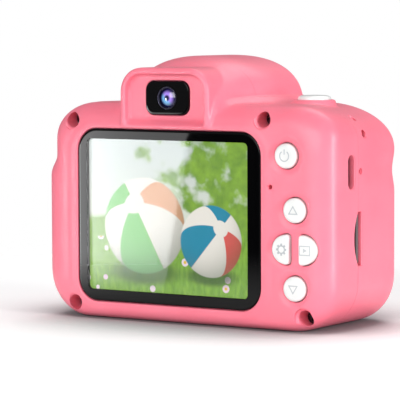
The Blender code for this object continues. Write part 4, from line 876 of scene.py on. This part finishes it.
# %% The hollow
WALL, REAR_WALL, HOOD_WALL = 2.0, 2.2, 1.6
SCREWS = ((-30.6, 46.2), (21.6, 47.2), (-29.9, 3.4), (32.2, 3.4))
SCREW_DEEP = (8.0, 3.3, 8.0, 8.0)
BOSS_R = 2.6
STRAP_X, STRAP_Y, STRAP_Z, STRAP_R = 35.5, -5.6, 43.6, 0.9
HOLLOW_VOXEL, HOLLOW_ROUNDS = 0.8, 1
inner_hood = bore(hood_outline(HOOD_WALL, SHOULDER - 3.0), -8.5, -3.5, "back", (AXIS, HOOD_REAR, 0))
space = rough("space", together(body(WALL, REAR + REAR_WALL, FRONT - WALL), hump(WALL), inner_hood))
remeshed(space, HOLLOW_VOXEL, HOLLOW_ROUNDS)
bosses = []
for (x, z), deep in zip(SCREWS, SCREW_DEEP):
    bosses.append(bore(circle(BOSS_R), REAR - SEAM - deep, 2.0, "back", (x, REAR, z)))
bosses.append(block((RIGHT - 5.2, SEAM, STRAP_Z - 2.2), (RIGHT + 2.0, STRAP_Y + 2.2, SHOULDER + 1.0)))
carve(space, "DIFFERENCE", *bosses)
inside = bmesh.new()
inside.from_mesh(space.data)
bmesh.ops.reverse_faces(inside, faces=inside.faces)
inside.from_mesh(skin.data)
bpy.data.objects.remove(space)
bpy.data.objects.remove(skin)
outer_skin = BVHTree.FromBMesh(inside)
shell = rough("shell", inside)
print("skin and hollow:", len(shell.data.polygons), "faces")

# %% [markdown]
# ## The rear half
# The rear shell has the screen's pocket, the eyepiece's pocket, a microphone hole, the key holes,
# four screw wells and its share of the openings in the side. Round one cuts the mouths that are
# seen, with rounded lips. Round two cuts the narrower holes behind them, because cutters that cross
# each other spoil a Boolean.

# %% The rear half
GLASS_Y, POCKET_Y = -21.6, -20.3
SELFIE_W, SELFIE_H, SELFIE_CORNER, SELFIE_LENS = 11.7, 7.7, 2.2, 2.6
HALF_GAP, HALF_WIDTH, HALF_HEIGHT, HALF_CORNER = 2.5, 4.5, 6.8, 1.0
WELL_R, WELL_DEPTH, WELL_LIP, SHANK_R = 1.9, 5.7, 0.6, 1.1
USB_Y, USB_Z, USB_W, USB_D = -12.15, 35.5, 7.0, 2.7
CARD_Y, CARD_Z, SLOT_H, NOTCH = -8.0, 20.45, 12.1, 1.8
MIC_X, MIC_Z, MIC_R = 23.8, 32.3, 0.5
SEAM_GAP = 0.03


def half_moon(side, grow=0.0):
    """One key of the pair: a flat side to the centre line, a bowed one and rounded corners."""
    flat, top = HALF_GAP / 2, HALF_HEIGHT / 2 + grow
    curve = []
    for step in range(2, 35):
        angle = math.radians(-90 + 5 * step)
        curve.append((flat + (HALF_WIDTH - 0.15 + grow) * math.cos(angle) ** 0.85, top * math.sin(angle)))
    corner = []
    for part in (0.0, 0.25, 0.5, 0.75):
        near, far = (1 - part) ** 2, part ** 2
        across = flat + far * (curve[0][0] - flat)
        corner.append((across, -top + near * HALF_CORNER + far * (curve[0][1] + top)))
    points = corner + curve + [(across, -up) for across, up in reversed(corner)]
    points = [(side * across, up) for across, up in points]
    return points if side > 0 else points[::-1]


def notch():
    """D-shaped opening for the card: a straight slot with a thumb notch behind it."""
    low, chord = SLOT_H / 2, -0.7
    radius = (low * low + NOTCH * NOTCH) / (2 * NOTCH)
    half_angle = math.degrees(math.asin(low / radius))
    curve = arc((0, chord + radius - NOTCH), radius, 270 - half_angle, 270 + half_angle, 24)
    outline = [(y, z) for z, y in [(low, 0.7), (-low, 0.7)] + curve]
    return mouth(outline, -4.0, 0.25, "right", (RIGHT - 0.05, CARD_Y, CARD_Z))


def case_half(name, low, high, first, second):
    """One half of the case between two depths, with two rounds of cuts."""
    made = rough(name, bmesh.new())
    made.data = shell.data.copy()
    carve(made, "INTERSECT", block((-80, low, -20), (80, high, 90)))
    carve(made, "DIFFERENCE", *first)
    carve(made, "DIFFERENCE", *second)
    print(name, len(made.data.polygons), "faces")
    return made


rear_first = [
    mouth(rounded(GLASS_W + 0.4, GLASS_H + 0.4, GLASS_CORNER + 0.2), POCKET_Y * -1 + REAR, 0.3,
          "back", (GLASS_X, REAR - 0.2, GLASS_Z)),
    mouth(rounded(SELFIE_W + 0.3, SELFIE_H + 0.3, SELFIE_CORNER + 0.15), -0.9, 0.2,
          "back", (AXIS, HOOD_FACE, SELFIE_Z)),
    mouth(circle(MIC_R, 20), -5.0, 0.15, "back", (MIC_X, REAR, MIC_Z)),
    mouth(rounded(USB_D + 0.2, USB_W + 0.6, 1.4), -5.5, 0.2, "right", (RIGHT - 0.1, USB_Y + 0.3, USB_Z)),
    notch(),
]
for x, z in KEYS.values():
    rear_first.append(mouth(circle(KEY_R + 0.2, 72), -6.0, 0.25, "back", (x, REAR + 0.55, z)))
for side in (-1, 1):
    rear_first.append(mouth(grown(half_moon(side), 0.2), -6.0, 0.2, "back", (KEY_X, REAR + 0.5, HALF_Z)))
for x, z in SCREWS:
    lip = outer_skin.ray_cast(Vector((x, 2 * REAR, z)), Vector((0, 1, 0)))[0].y
    low = lip - REAR - WELL_DEPTH
    rear_first.append(mouth(circle(WELL_R - 0.15), low, WELL_LIP, "back", (x, lip, z), 5.0))
rear_second = [
    bore(rounded(VIEW_W + 0.6, VIEW_H + 0.6, 0.8), -6.0, 1.0, "back", (GLASS_X, REAR, GLASS_Z)),
    bore(circle(SELFIE_LENS + 0.3), -4.0, 1.0, "back", (AXIS, HOOD_FACE, SELFIE_Z)),
    bore(rounded(USB_D + 2.0, USB_W + 2.4, 1.6), -6.0, -1.5, "right", (RIGHT, USB_Y + 0.2, USB_Z)),
]
for x, z in SCREWS:
    rear_second.append(bore(circle(SHANK_R, 24), -20.0, -3.0, "back", (x, REAR, z)))
rear_case = case_half("rear_case", -40.0, SEAM - SEAM_GAP, rear_first, rear_second)

# %% [markdown]
# ## The front half
# The front shell takes the lens barrel, the flash window, the shutter, the strap hole, the reset
# pinhole and a ring of speaker holes in its base. It is cut in two rounds like the rear one. The
# two halves stop a hair short of the seam, so that it shows as a fine dark line.

# %% The front half
LENS_HOLE = 16.5
FLASH_Z, FLASH_W, FLASH_H = 53.8, 15.0, 5.6
SPEAKER_X, SPEAKER_Y, SPEAKER_RING, SPEAKER_HOLE = -19.0, 0.75, 3.0, 0.6
GROOVE_SIDE, PINHOLE_R = RIGHT - 0.4, 0.6
front_first = [
    bore(circle(LENS_HOLE, 96), -6.0, 2.0, "front", (AXIS, FRONT, LENS_Z)),
    mouth(rounded(FLASH_W + 0.4, FLASH_H + 0.4, 1.4), -1.2, 0.3, "front", (AXIS, HUMP_FRONT, FLASH_Z)),
    mouth(circle(SHUTTER_R + 0.2, 72), -1.5, 0.3, "up", (SHUTTER_X, SHUTTER_Y, COLLAR_Z)),
    bore(circle(STRAP_R, 32), STRAP_Z - 1.17, 60.0, "up", (STRAP_X, STRAP_Y, 0)),
    mouth(circle(PINHOLE_R, 20), -6.0, 0.15, "right", (GROOVE_SIDE, CARD_Y + 0.1, USB_Z)),
    notch(),
]
for index in range(7):
    reach = 0.0 if index == 6 else SPEAKER_RING
    angle = math.radians(60 * index)
    at = (SPEAKER_X + reach * math.cos(angle), SPEAKER_Y + reach * math.sin(angle), 0)
    front_first.append(stack(circle(SPEAKER_HOLE, 20), [(-1.0, 0.25), (0.25, 0), (4.0, 0)], "up", at))
front_second = [
    bore(rounded(FLASH_W - 3.0, FLASH_H - 2.0, 1.0), -5.0, 0.0, "front", (AXIS, HUMP_FRONT, FLASH_Z)),
    bore(circle(1.6, 24), -6.0, 0.0, "up", (SHUTTER_X, SHUTTER_Y, COLLAR_Z)),
    mouth(circle(STRAP_R, 28), STRAP_X - RIGHT, 0.2, "right", (GROOVE_SIDE, STRAP_Y, STRAP_Z + 0.2)),
]
for x, z in SCREWS:
    front_second.append(bore(circle(SHANK_R, 24), -3.0, 2.0, "back", (x, SEAM, z)))
front_case = case_half("front_case", SEAM + SEAM_GAP, 40.0, front_first, front_second)
bpy.data.objects.remove(shell)
dress(rear_case, PINK, "case", "pink_shell", "rear_shell", sharp=50)
dress(front_case, PINK, "case", "pink_shell", "front_shell", sharp=50)

# %% [markdown]
# ## Screen and eyepiece
# The screen's cover is one sheet with a rounded edge, and a thin lit film behind it shows the
# picture. The eyepiece is a small gloss window with a machined ring and a coated lens. A ring could
# be a torus, but a spun profile gives it the flat face and the chamfer of a turned one.

# %% Screen and eyepiece
FILM_W, FILM_H, FILM_CORNER, FILM_AT = 45.0, 36.0, 1.0, (-4.1, -20.45, 24.4)
glass = rough("screen_cover", plate(rounded(GLASS_W, GLASS_H, GLASS_CORNER, 16), -1.0, 0.0, 0.25,
                                    "back", (GLASS_X, GLASS_Y, GLASS_Z)))
dress(glass, SCREEN_GLASS, "case", "dark_window", "screen_glass")
film = plate(rounded(FILM_W, FILM_H, FILM_CORNER), -0.08, 0.08, 0.03, "back", FILM_AT)
dress(rough("display_film", film), PICTURE, "case", "display")
SELFIE_Y = HOOD_FACE - FIT
SELFIE_AT = (AXIS, SELFIE_Y, SELFIE_Z)
window = plate(rounded(SELFIE_W, SELFIE_H, SELFIE_CORNER, 12), -1.0, 0.0, 0.2, "back", SELFIE_AT)
window = rough("eyepiece_window", window)
carve(window, "DIFFERENCE", bore(circle(2.7, 64), -2.0, 1.0, "back", SELFIE_AT))
dress(window, SELFIE_GLASS, "case", "dark_window", "selfie_window")
ring = lathe(eased([(2.2, -0.9), (2.2, -0.1), (2.35, 0.1), (2.6, 0.1), (2.65, -0.9)], 0.08), "back",
             SELFIE_AT, 72, True)
dress(rough("eyepiece_lens_ring", ring), RING, "case", "bright_steel")
dome = [(0.0, 0.05), (0.6, 0.02), (1.2, -0.09), (1.7, -0.28), (2.1, -0.5), (2.1, -0.9), (0.0, -0.9)]
dress(rough("eyepiece_lens_dome", lathe(dome, "back", SELFIE_AT, 72)), SELFIE_COAT,
      "case", "camera_lens")
print("screen cover, eyepiece window, ring and lens")

# %% [markdown]
# ## Keys and shutter
# Each cap is a small moulding with a soft crown, a rounded edge, a flange that holds it behind the
# wall, and a stem that reaches its switch. The round ones are spun. The pair of half-moons is
# lofted, and its flanges and stems are joined on with Booleans.

# %% Keys and shutter
KEY_PROUD = 0.6
STEM_END, STEM_R = -4.1, 1.4
FLANGE_HIGH, FLANGE_LOW, FLANGE = -2.5, -3.5, 0.8


def cap_profile(radius):
    """Half section of a round key from its crown to its stem."""
    crown = [(radius * part, KEY_PROUD - 0.10 * part * part) for part in (0, 0.2, 0.4, 0.6, 0.74)]
    turns = [math.pi / 2 * step / 7 for step in range(1, 8)]
    top, width = KEY_PROUD - 0.06, radius * 0.24
    crown += [(radius - width + width * math.sin(t), top - 0.75 * (1 - math.cos(t))) for t in turns]
    return crown + [(radius, FLANGE_HIGH), (radius + FLANGE, FLANGE_HIGH), (radius + FLANGE, FLANGE_LOW),
                    (STEM_R, FLANGE_LOW), (STEM_R, STEM_END), (0.0, STEM_END)]


for key, (x, z) in KEYS.items():
    cap = rough(key + "_cap", lathe(cap_profile(KEY_R), "back", (x, REAR, z), 80))
    dress(cap, WHITE, key + "_key", "white_key", key + "_button")
for key, side in (("settings", -1), ("playback", 1)):
    at = (KEY_X, REAR, HALF_Z)
    heights = [(FLANGE_LOW + 0.2, 0)] + edge(KEY_PROUD, 0.5, 6)
    cap = rough(key + "_cap", stack(half_moon(side), heights, "back", at))
    stem_at = (KEY_X + side * (HALF_GAP / 2 + HALF_WIDTH * 0.45), REAR, HALF_Z)
    carve(cap, "UNION", bore(half_moon(side, FLANGE), FLANGE_LOW, FLANGE_HIGH, "back", at))
    carve(cap, "UNION", bore(circle(STEM_R, 32), STEM_END, FLANGE_HIGH, "back", stem_at))
    dress(cap, WHITE, key + "_key", "white_key", key + "_button")
shutter = lathe(
    [(0.0, 0.9), (1.6, 0.89), (2.7, 0.84), (3.2, 0.74), (3.55, 0.55), (3.74, 0.3), (3.8, 0.05), (3.8, -0.8),
     (1.3, -0.8), (1.3, -3.5), (1.8, -3.7), (1.3, -4.6), (1.3, -5.1), (0.0, -5.1)],
    "up", (SHUTTER_X, SHUTTER_Y, COLLAR_Z), 96,
)
dress(rough("shutter_cap", shutter), WHITE, "shutter_key", "white_key", "shutter_button")
print("caps:", len(KEYS) + 3)

# %% [markdown]
# ## Printed marks
# The marks on the caps are ink, a few hundredths of a millimetre thick. They could be part of the
# caps' finish, but a shape keeps its edge sharp at any distance, so each is a set of flat faces
# that are extruded a little.

# %% Printed marks
INK_LIFT, INK_THICK = 0.02, 0.04


def marks(name, polygons, at, body):
    """Flat prints that stand a hair above a cap."""
    spot = place("back", at)
    shape = bmesh.new()
    for points in polygons:
        shape.faces.new([shape.verts.new(spot(u, v, KEY_PROUD + INK_LIFT)) for u, v in points])
    grown_up = bmesh.ops.extrude_face_region(shape, geom=shape.faces[:])
    moved = [item for item in grown_up["geom"] if isinstance(item, bmesh.types.BMVert)]
    bmesh.ops.translate(shape, verts=moved, vec=(0, INK_THICK, 0))
    bmesh.ops.recalc_face_normals(shape, faces=shape.faces)
    dress(rough(name, shape), INK, body, "white_key")


def bow(radius, width, start, end, steps=24):
    """Strips of a ring between two angles."""
    inner, outer = (arc((0, 0), radius + width * side, start, end, steps) for side in (-0.5, 0.5))
    return [[outer[i], outer[i + 1], inner[i + 1], inner[i]] for i in range(steps)]


def bar(x0, z0, x1, z1):
    """Upright rectangle."""
    return [(x0, z0), (x1, z0), (x1, z1), (x0, z1)]


def rim(outline, width):
    """Strips inside the edge of a closed outline."""
    inner = grown(outline, -width)
    return [[outline[i - 1], outline[i], inner[i], inner[i - 1]] for i in range(len(outline))]


TOOTH = ((0.95, -0.24), (1.35, -0.17), (1.35, 0.17), (0.95, 0.24))
TEETH = []
for index in range(8):
    angle = math.tau * index / 8
    TEETH.append([(reach * math.cos(angle + by), reach * math.sin(angle + by)) for reach, by in TOOTH])
FRAME_MARK = rim(bar(-1.4, -1.1, 1.4, 1.1), 0.22) + [[(-0.4, -0.5), (0.55, 0.0), (-0.4, 0.5)]]
PRINTS = {
    "power": (bow(1.15, 0.26, 125, 415) + [bar(-0.13, 0.35, 0.13, 1.5)], KEYS["power"]),
    "up": (rim([(-1.25, -0.85), (1.25, -0.85), (0.0, 1.15)], 0.24), KEYS["up"]),
    "down": (rim([(-1.25, 0.85), (0.0, -1.15), (1.25, 0.85)], 0.24), KEYS["down"]),
    "settings": (bow(0.84, 0.3, 0, 360) + TEETH, (KEY_X - 3.0, HALF_Z)),
    "playback": (FRAME_MARK, (KEY_X + 3.0, HALF_Z)),
}
for key, (polygons, (x, z)) in PRINTS.items():
    marks(key + "_mark", polygons, (x, REAR, z), key + "_key")
print("marks:", len(PRINTS))

# %% [markdown]
# ## Screws
# Four screws hold the case. Only their heads show, at the ends of their wells, so the thread is
# left plain. The head is spun, and two crossed cutters that narrow downwards leave the recess for
# the driver.

# %% Screws
SCREW_GRIP = 2.7
for index, (x, z) in enumerate(SCREWS):
    at = (x, REAR + WELL_DEPTH - FIT, z)
    tip = -(SEAM + SCREW_GRIP - REAR - WELL_DEPTH + FIT)
    profile = [(0, 1.2), (0.7, 1.15), (1.2, 1.0), (1.5, 0.7), (1.6, 0.45), (1.6, 0), (0.8, 0),
               (0.8, tip + 1.0), (0, tip + 0.2)]
    screw = rough(f"case_screw_{index + 1}_finished", lathe(profile, "back", at, 40))
    cross = rounded(1.9, 0.5, 0.12, 3)
    for outline in (cross, [(-v, u) for u, v in cross]):
        carve(screw, "DIFFERENCE", stack(outline, [(0.55, -0.07), (1.6, 0.0)], "back", at))
    dress(screw, SCREW, "case", "bright_steel", f"case_screw_{index + 1}")
print("screws:", len(SCREWS))

# %% [markdown]
# ## Lens barrel, ring and pane
# The front has a stepped tube with a fine groove, a pale trim ring and a clear pane. All three are
# spun from profiles whose corners are eased, because a moulding has no sharp corner and a sharp one
# would catch no light.

# %% Lens barrel, ring and pane
BARREL_R, BARREL_FLANGE, BARREL_LONG = 19.0, 20.5, 8.6
BARREL_BORE, WINDOW_R, PANE_THICK = 14.2, 15.2, 1.2
LENS_AT = (AXIS, FRONT, LENS_Z)
LEDGE = BARREL_LONG - PANE_THICK - 3 * FIT + 0.1
barrel = eased(
    [(WINDOW_R + FIT, BARREL_LONG - 0.6), (WINDOW_R + FIT, BARREL_LONG), (BARREL_R - 0.7, BARREL_LONG),
     (BARREL_R, BARREL_LONG - 0.7), (BARREL_R + 0.15, 6.6), (BARREL_R - 0.25, 6.4), (BARREL_R - 0.25, 6.0),
     (BARREL_R + 0.2, 5.8), (BARREL_R + 0.6, 3.0), (BARREL_FLANGE, 2.0), (BARREL_FLANGE, FIT),
     (LENS_HOLE - FIT, FIT), (LENS_HOLE - FIT, -2.6), (BARREL_BORE, -2.6), (BARREL_BORE, LEDGE),
     (WINDOW_R + FIT, LEDGE)],
    0.4,
)
barrel = rough("lens_barrel_finished", lathe(barrel, "front", LENS_AT, 128, True))
dress(barrel, PINK, "case", "pink_shell", "lens_barrel")
TRIM_LOW, TRIM_HIGH = BARREL_LONG + FIT, BARREL_LONG + FIT + 1.9
trim = eased(
    [(BARREL_R - 3.6, TRIM_HIGH - 0.4), (BARREL_R - 3.0, TRIM_HIGH), (BARREL_R - 1.8, TRIM_HIGH),
     (BARREL_R - 0.8, TRIM_HIGH - 0.6), (BARREL_R - 0.5, TRIM_LOW), (WINDOW_R - 0.6, TRIM_LOW),
     (WINDOW_R - 0.2, TRIM_HIGH - 0.8)],
    0.35,
)
trim = rough("lens_ring_finished", lathe(trim, "front", LENS_AT, 128, True))
dress(trim, WHITE, "case", "white_key", "lens_trim_ring")
pane_low, pane_high = LEDGE + FIT, LEDGE + FIT + PANE_THICK
pane = [(0, pane_high), (WINDOW_R - 0.2, pane_high), (WINDOW_R, pane_high - 0.2), (WINDOW_R, pane_low),
        (0, pane_low)]
pane = rough("lens_pane", lathe(pane, "front", LENS_AT, 96))
dress(pane, FRONT_GLASS, "case", "dark_window", "lens_window")
print("lens barrel, ring and pane, ledge at", round(LEDGE, 2), "mm")

# %% [markdown]
# ## Baffle, front lens and flash
# Behind the pane a black funnel with steps keeps stray light off the lens. The steps could be a
# bump, but real ones cast shadows, so they are in the profile. The lens and its mount are one spun
# shape, and the flash window is a plate with a rounded edge.

# %% Baffle, front lens and flash
BAFFLE_MOUTH, BAFFLE_STEPS = 4.6, 8
steps = [(BARREL_BORE - 1.0, LEDGE - FIT), (BARREL_BORE - FIT, LEDGE - FIT), (BARREL_BORE - FIT, LEDGE - 2.0),
         (6.0, -2.0), (6.0, -3.0), (BAFFLE_MOUTH, -3.0), (BAFFLE_MOUTH, -1.0)]
for step in range(1, BAFFLE_STEPS):
    part = step / BAFFLE_STEPS
    radius = BAFFLE_MOUTH + (BARREL_BORE - 1.0 - BAFFLE_MOUTH) * part
    height = -1.0 + (LEDGE + 0.7) * part
    steps += [(radius, height - 0.35), (radius, height)]
baffle = rough("lens_baffle_finished", lathe(steps, "front", LENS_AT, 96, True))
dress(baffle, BLACK, "case", "black_plastic", "lens_baffle")
front = [(0, 0.6), (0.9, 0.52), (1.8, 0.3), (2.5, 0.0), (3.0, -0.2), (3.3, 0.9), (3.5, 1.0), (4.2, 1.0),
         (4.3, 0.9), (4.3, -2.7), (3.6, -2.7), (3.6, -5.5), (0, -5.5)]
front_lens = rough("front_lens_finished", lathe(front, "front", LENS_AT, 80))
dress(front_lens, FRONT_COAT, "case", "camera_lens", "front_lens")
flash = plate(rounded(FLASH_W, FLASH_H, 1.2), -0.9, 0.2, 0.25, "front", (AXIS, HUMP_FRONT, FLASH_Z))
dress(rough("flash_cover", flash), DIFFUSER, "case", "clear_window", "flash_window")
print("baffle, front lens and flash cover")

# %% [markdown]
# ## Inner pieces
# What is inside can't be seen, so those pieces keep the shapes of their solids and only get their
# own finishes.

# %% Inner pieces
INNER = {
    "pink_shell": PINK, "white_key": WHITE, "dark_window": SELFIE_GLASS, "clear_window": DIFFUSER,
    "camera_lens": SELFIE_COAT, "black_plastic": BLACK, "circuit_board": BOARD, "display": PICTURE,
    "bright_steel": STEEL, "cell_foil": FOIL, "amber_film": AMBER, "red_wire": RED_WIRE,
    "black_wire": BLACK_WIRE,
}
slots = {row["node"]: row["material_slot"] for row in frame["record"]["subparts"]}
for name, solid in frame["nodes"].items():
    solid.data.materials.clear()
    solid.data.materials.append(INNER[slots[name]])
frame["nodes"]["memory_card"].data.materials[0] = MEMORY_CARD
print("finishes on solids:", len(slots))

# %% [markdown]
# ## Floor
# The camera stands on a pale floor with a soft grey shade where the case shuts out the light. That
# shade is painted: an occlusion measure darkens the floor's colour and its glow near the case. A plain
# floor under strong lights would have hard shadows, so it also glows a little, less in the places
# that the case hems in, and fades out with distance.

# %% Floor
scene = bpy.context.scene
FLOOR_HALF, SHADE_REACH, SHADE_SAMPLES = 6.0, 0.04, 24
FADE_FROM, FADE_TO = 0.06, 0.20
floor_shape = bmesh.new()
bmesh.ops.create_grid(floor_shape, x_segments=1, y_segments=1, size=FLOOR_HALF)
floor = rough("floor", floor_shape)
# Matt paper: no sheen, only a painted shade, grey-blue #8b9394 where the case is nearest.
paper = moulded("pale_floor_paper", "#fdfdfd", "#fbfbfb", 0.9, 3.333, 0.01)
paper_tree = paper.node_tree
paper_face = paper_tree.nodes["Principled BSDF"]
# Painted shade: the open share that an occlusion measure finds within SHADE_REACH darkens the colour and dims
# the glow.
painted_shade_probe = add(paper_tree, "AmbientOcclusion", Distance=SHADE_REACH).node
painted_shade_probe.samples = SHADE_SAMPLES
free = painted_shade_probe.outputs["AO"]
shade = add(paper_tree, "MapRange SMOOTHSTEP", free, 0.35, 0.98)
feed(
    paper_face, Emission_Color=(1, 1, 1, 1),
    Base_Color=add(paper_tree, "Mix RGBA", shade, tone("#8b9394"), tone("#fdfdfd")),
    Emission_Strength=add(paper_tree, "MapRange SMOOTHSTEP", free, 0.4, 0.98, 0.0, 0.28),
)
from_middle = add(paper_tree, "VectorMath LENGTH", add(paper_tree, "TexCoord").node.outputs["Object"])
fade = add(paper_tree, "MapRange SMOOTHSTEP", from_middle, FADE_FROM, FADE_TO)
open_air = add(paper_tree, "BsdfTransparent")
feed(paper_tree.nodes["Material Output"], add(paper_tree, "MixShader", fade, paper_face.outputs[0], open_air))
floor.data.materials.append(paper)
print("floor:", 2 * FLOOR_HALF, "m wide, gone at", FADE_TO, "m")

# %% [markdown]
# ## Surround
# The background is plain white, but a white surround would wash out the case. So only what is seen
# directly is white, and the light that reaches the pieces from all round is dim.

# %% Surround
SURROUND_GLOW = 0.28
world = bpy.data.worlds.new("studio")
scene.world = world
world.use_nodes = True
sky = world.node_tree
sky.nodes.clear()
direct = add(sky, "LightPath").node.outputs["Is Camera Ray"]
glow = add(sky, "Background", tone("#f4f4f6"), SURROUND_GLOW)
seen = add(sky, "Background", (1, 1, 1, 1), 1.0)
add(sky, "OutputWorld", add(sky, "MixShader", direct, glow, seen))
print("surround:", SURROUND_GLOW, "of full light")

# %% [markdown]
# ## Lights
# Broad soft boxes give a moulding its wide, mild lights. One is ahead of the screen and above it,
# one lights the right side, and a weak one behind and above draws a line along the hump.

# %% Lights
def soft_box(name, at, toward, size, power):
    """Square area light that looks at a point."""
    lamp = bpy.data.lights.new(name, "AREA")
    lamp.shape = "RECTANGLE"
    lamp.size, lamp.size_y = size
    lamp.energy = power
    made = bpy.data.objects.new(name, lamp)
    made.location = at
    made.rotation_euler = (Vector(toward) - Vector(at)).to_track_quat("-Z", "Y").to_euler()
    scene.collection.objects.link(made)


HEART = (0.0, -0.005, 0.03)
BOXES = {
    "key": ((0.06, -1.2, 0.4), (0.9, 0.7), 11.0),
    "side": ((1.12, -0.12, 0.2), (0.3, 0.7), 10.2),
    "overhead": ((0.0, 0.45, 0.9), (0.6, 0.6), 3.1),
}
for name, (at, size, power) in BOXES.items():
    soft_box(name, at, HEART, size, power)
print("soft boxes:", len(BOXES))

# %% [markdown]
# ## Cards in the glass
# The screen's glass mirrors what stands beside it: a bright card whose slanted edge crosses the
# picture, and a dark one next to it. Both are hidden from the view and from soft light, so they
# show in gloss only.

# %% Cards in the glass
SIDE_CARD_Y, SIDE_CARD_FOOT, SIDE_CARD_TOP = -0.50, -0.12, 0.0225
LINE_TOP, LINE_FOOT = (-0.3106, SIDE_CARD_TOP), (-0.340, SIDE_CARD_FOOT)
LIGHT_END, DARK_END = -0.46, -0.20
RISE_FROM, RISE_RUN, RISE_POWER, SIDE_CARD_GLOW = -0.315, 0.055, 2.2, 4.4


def card(name, end, material):
    """Flat card between the slanted line and an upright end."""
    shape = bmesh.new()
    corners = (LINE_TOP, LINE_FOOT, (end, SIDE_CARD_FOOT), (end, SIDE_CARD_TOP))
    shape.faces.new([shape.verts.new((x, SIDE_CARD_Y, z)) for x, z in corners])
    made = rough(name, shape)
    made.data.materials.append(material)
    made.visible_diffuse = made.visible_camera = False


# White card that glows more with distance from the line.
white, card_tree, card_face, card_where = start("white_light_card")
past_line = add(card_tree, "Math SUBTRACT", RISE_FROM, add(card_tree, "SeparateXYZ", card_where))
share = add(card_tree, "Math DIVIDE", add(card_tree, "Math MAXIMUM", past_line, 0.0), RISE_RUN)
rise = add(card_tree, "Math MULTIPLY", add(card_tree, "Math POWER", share, RISE_POWER), SIDE_CARD_GLOW)
power = add(card_tree, "Math ADD", rise, SIDE_CARD_GLOW)
feed(card_face, Emission_Color=(1, 1, 1, 1), Emission_Strength=power)
card("light_card", LIGHT_END, white)
# Velvet gives nothing back.
card("dark_card", DARK_END, moulded("black_velvet_card", "#030303", "#020202", 0.9, 0.4545, 0.03))
print("cards: 2")

# %% [markdown]
# ## View
# The eye stands behind the camera and to its right, a little above it, with a long lens, so that
# edges stay nearly parallel. Its directions are worked out from the eye, the target and a slight
# roll.

# %% View
TARGET, EYE = Vector((-0.00901, 0.0003, 0.02679)), Vector((0.3068, -0.4860, 0.0701))
AROUND, ROLL = math.radians(33.0), math.radians(-0.228)
ahead = (TARGET - EYE).normalized()
level = Vector((math.cos(AROUND), math.sin(AROUND), 0.0))
upright = level.cross(ahead)
right = math.cos(ROLL) * level + math.sin(ROLL) * upright
up = right.cross(ahead)
lens = bpy.data.cameras.new("view")
LONG_LENS, SENSOR = 221.4, 36.0
lens.lens, lens.sensor_width = LONG_LENS, SENSOR
view = bpy.data.objects.new("view", lens)
scene.collection.objects.link(view)
turn = Matrix((right, up, -ahead)).transposed().to_4x4()
view.matrix_world = Matrix.Translation(EYE) @ turn
scene.camera = view
scene.view_settings.view_transform = "Standard"
print("view from", round((TARGET - EYE).length, 3), "m")
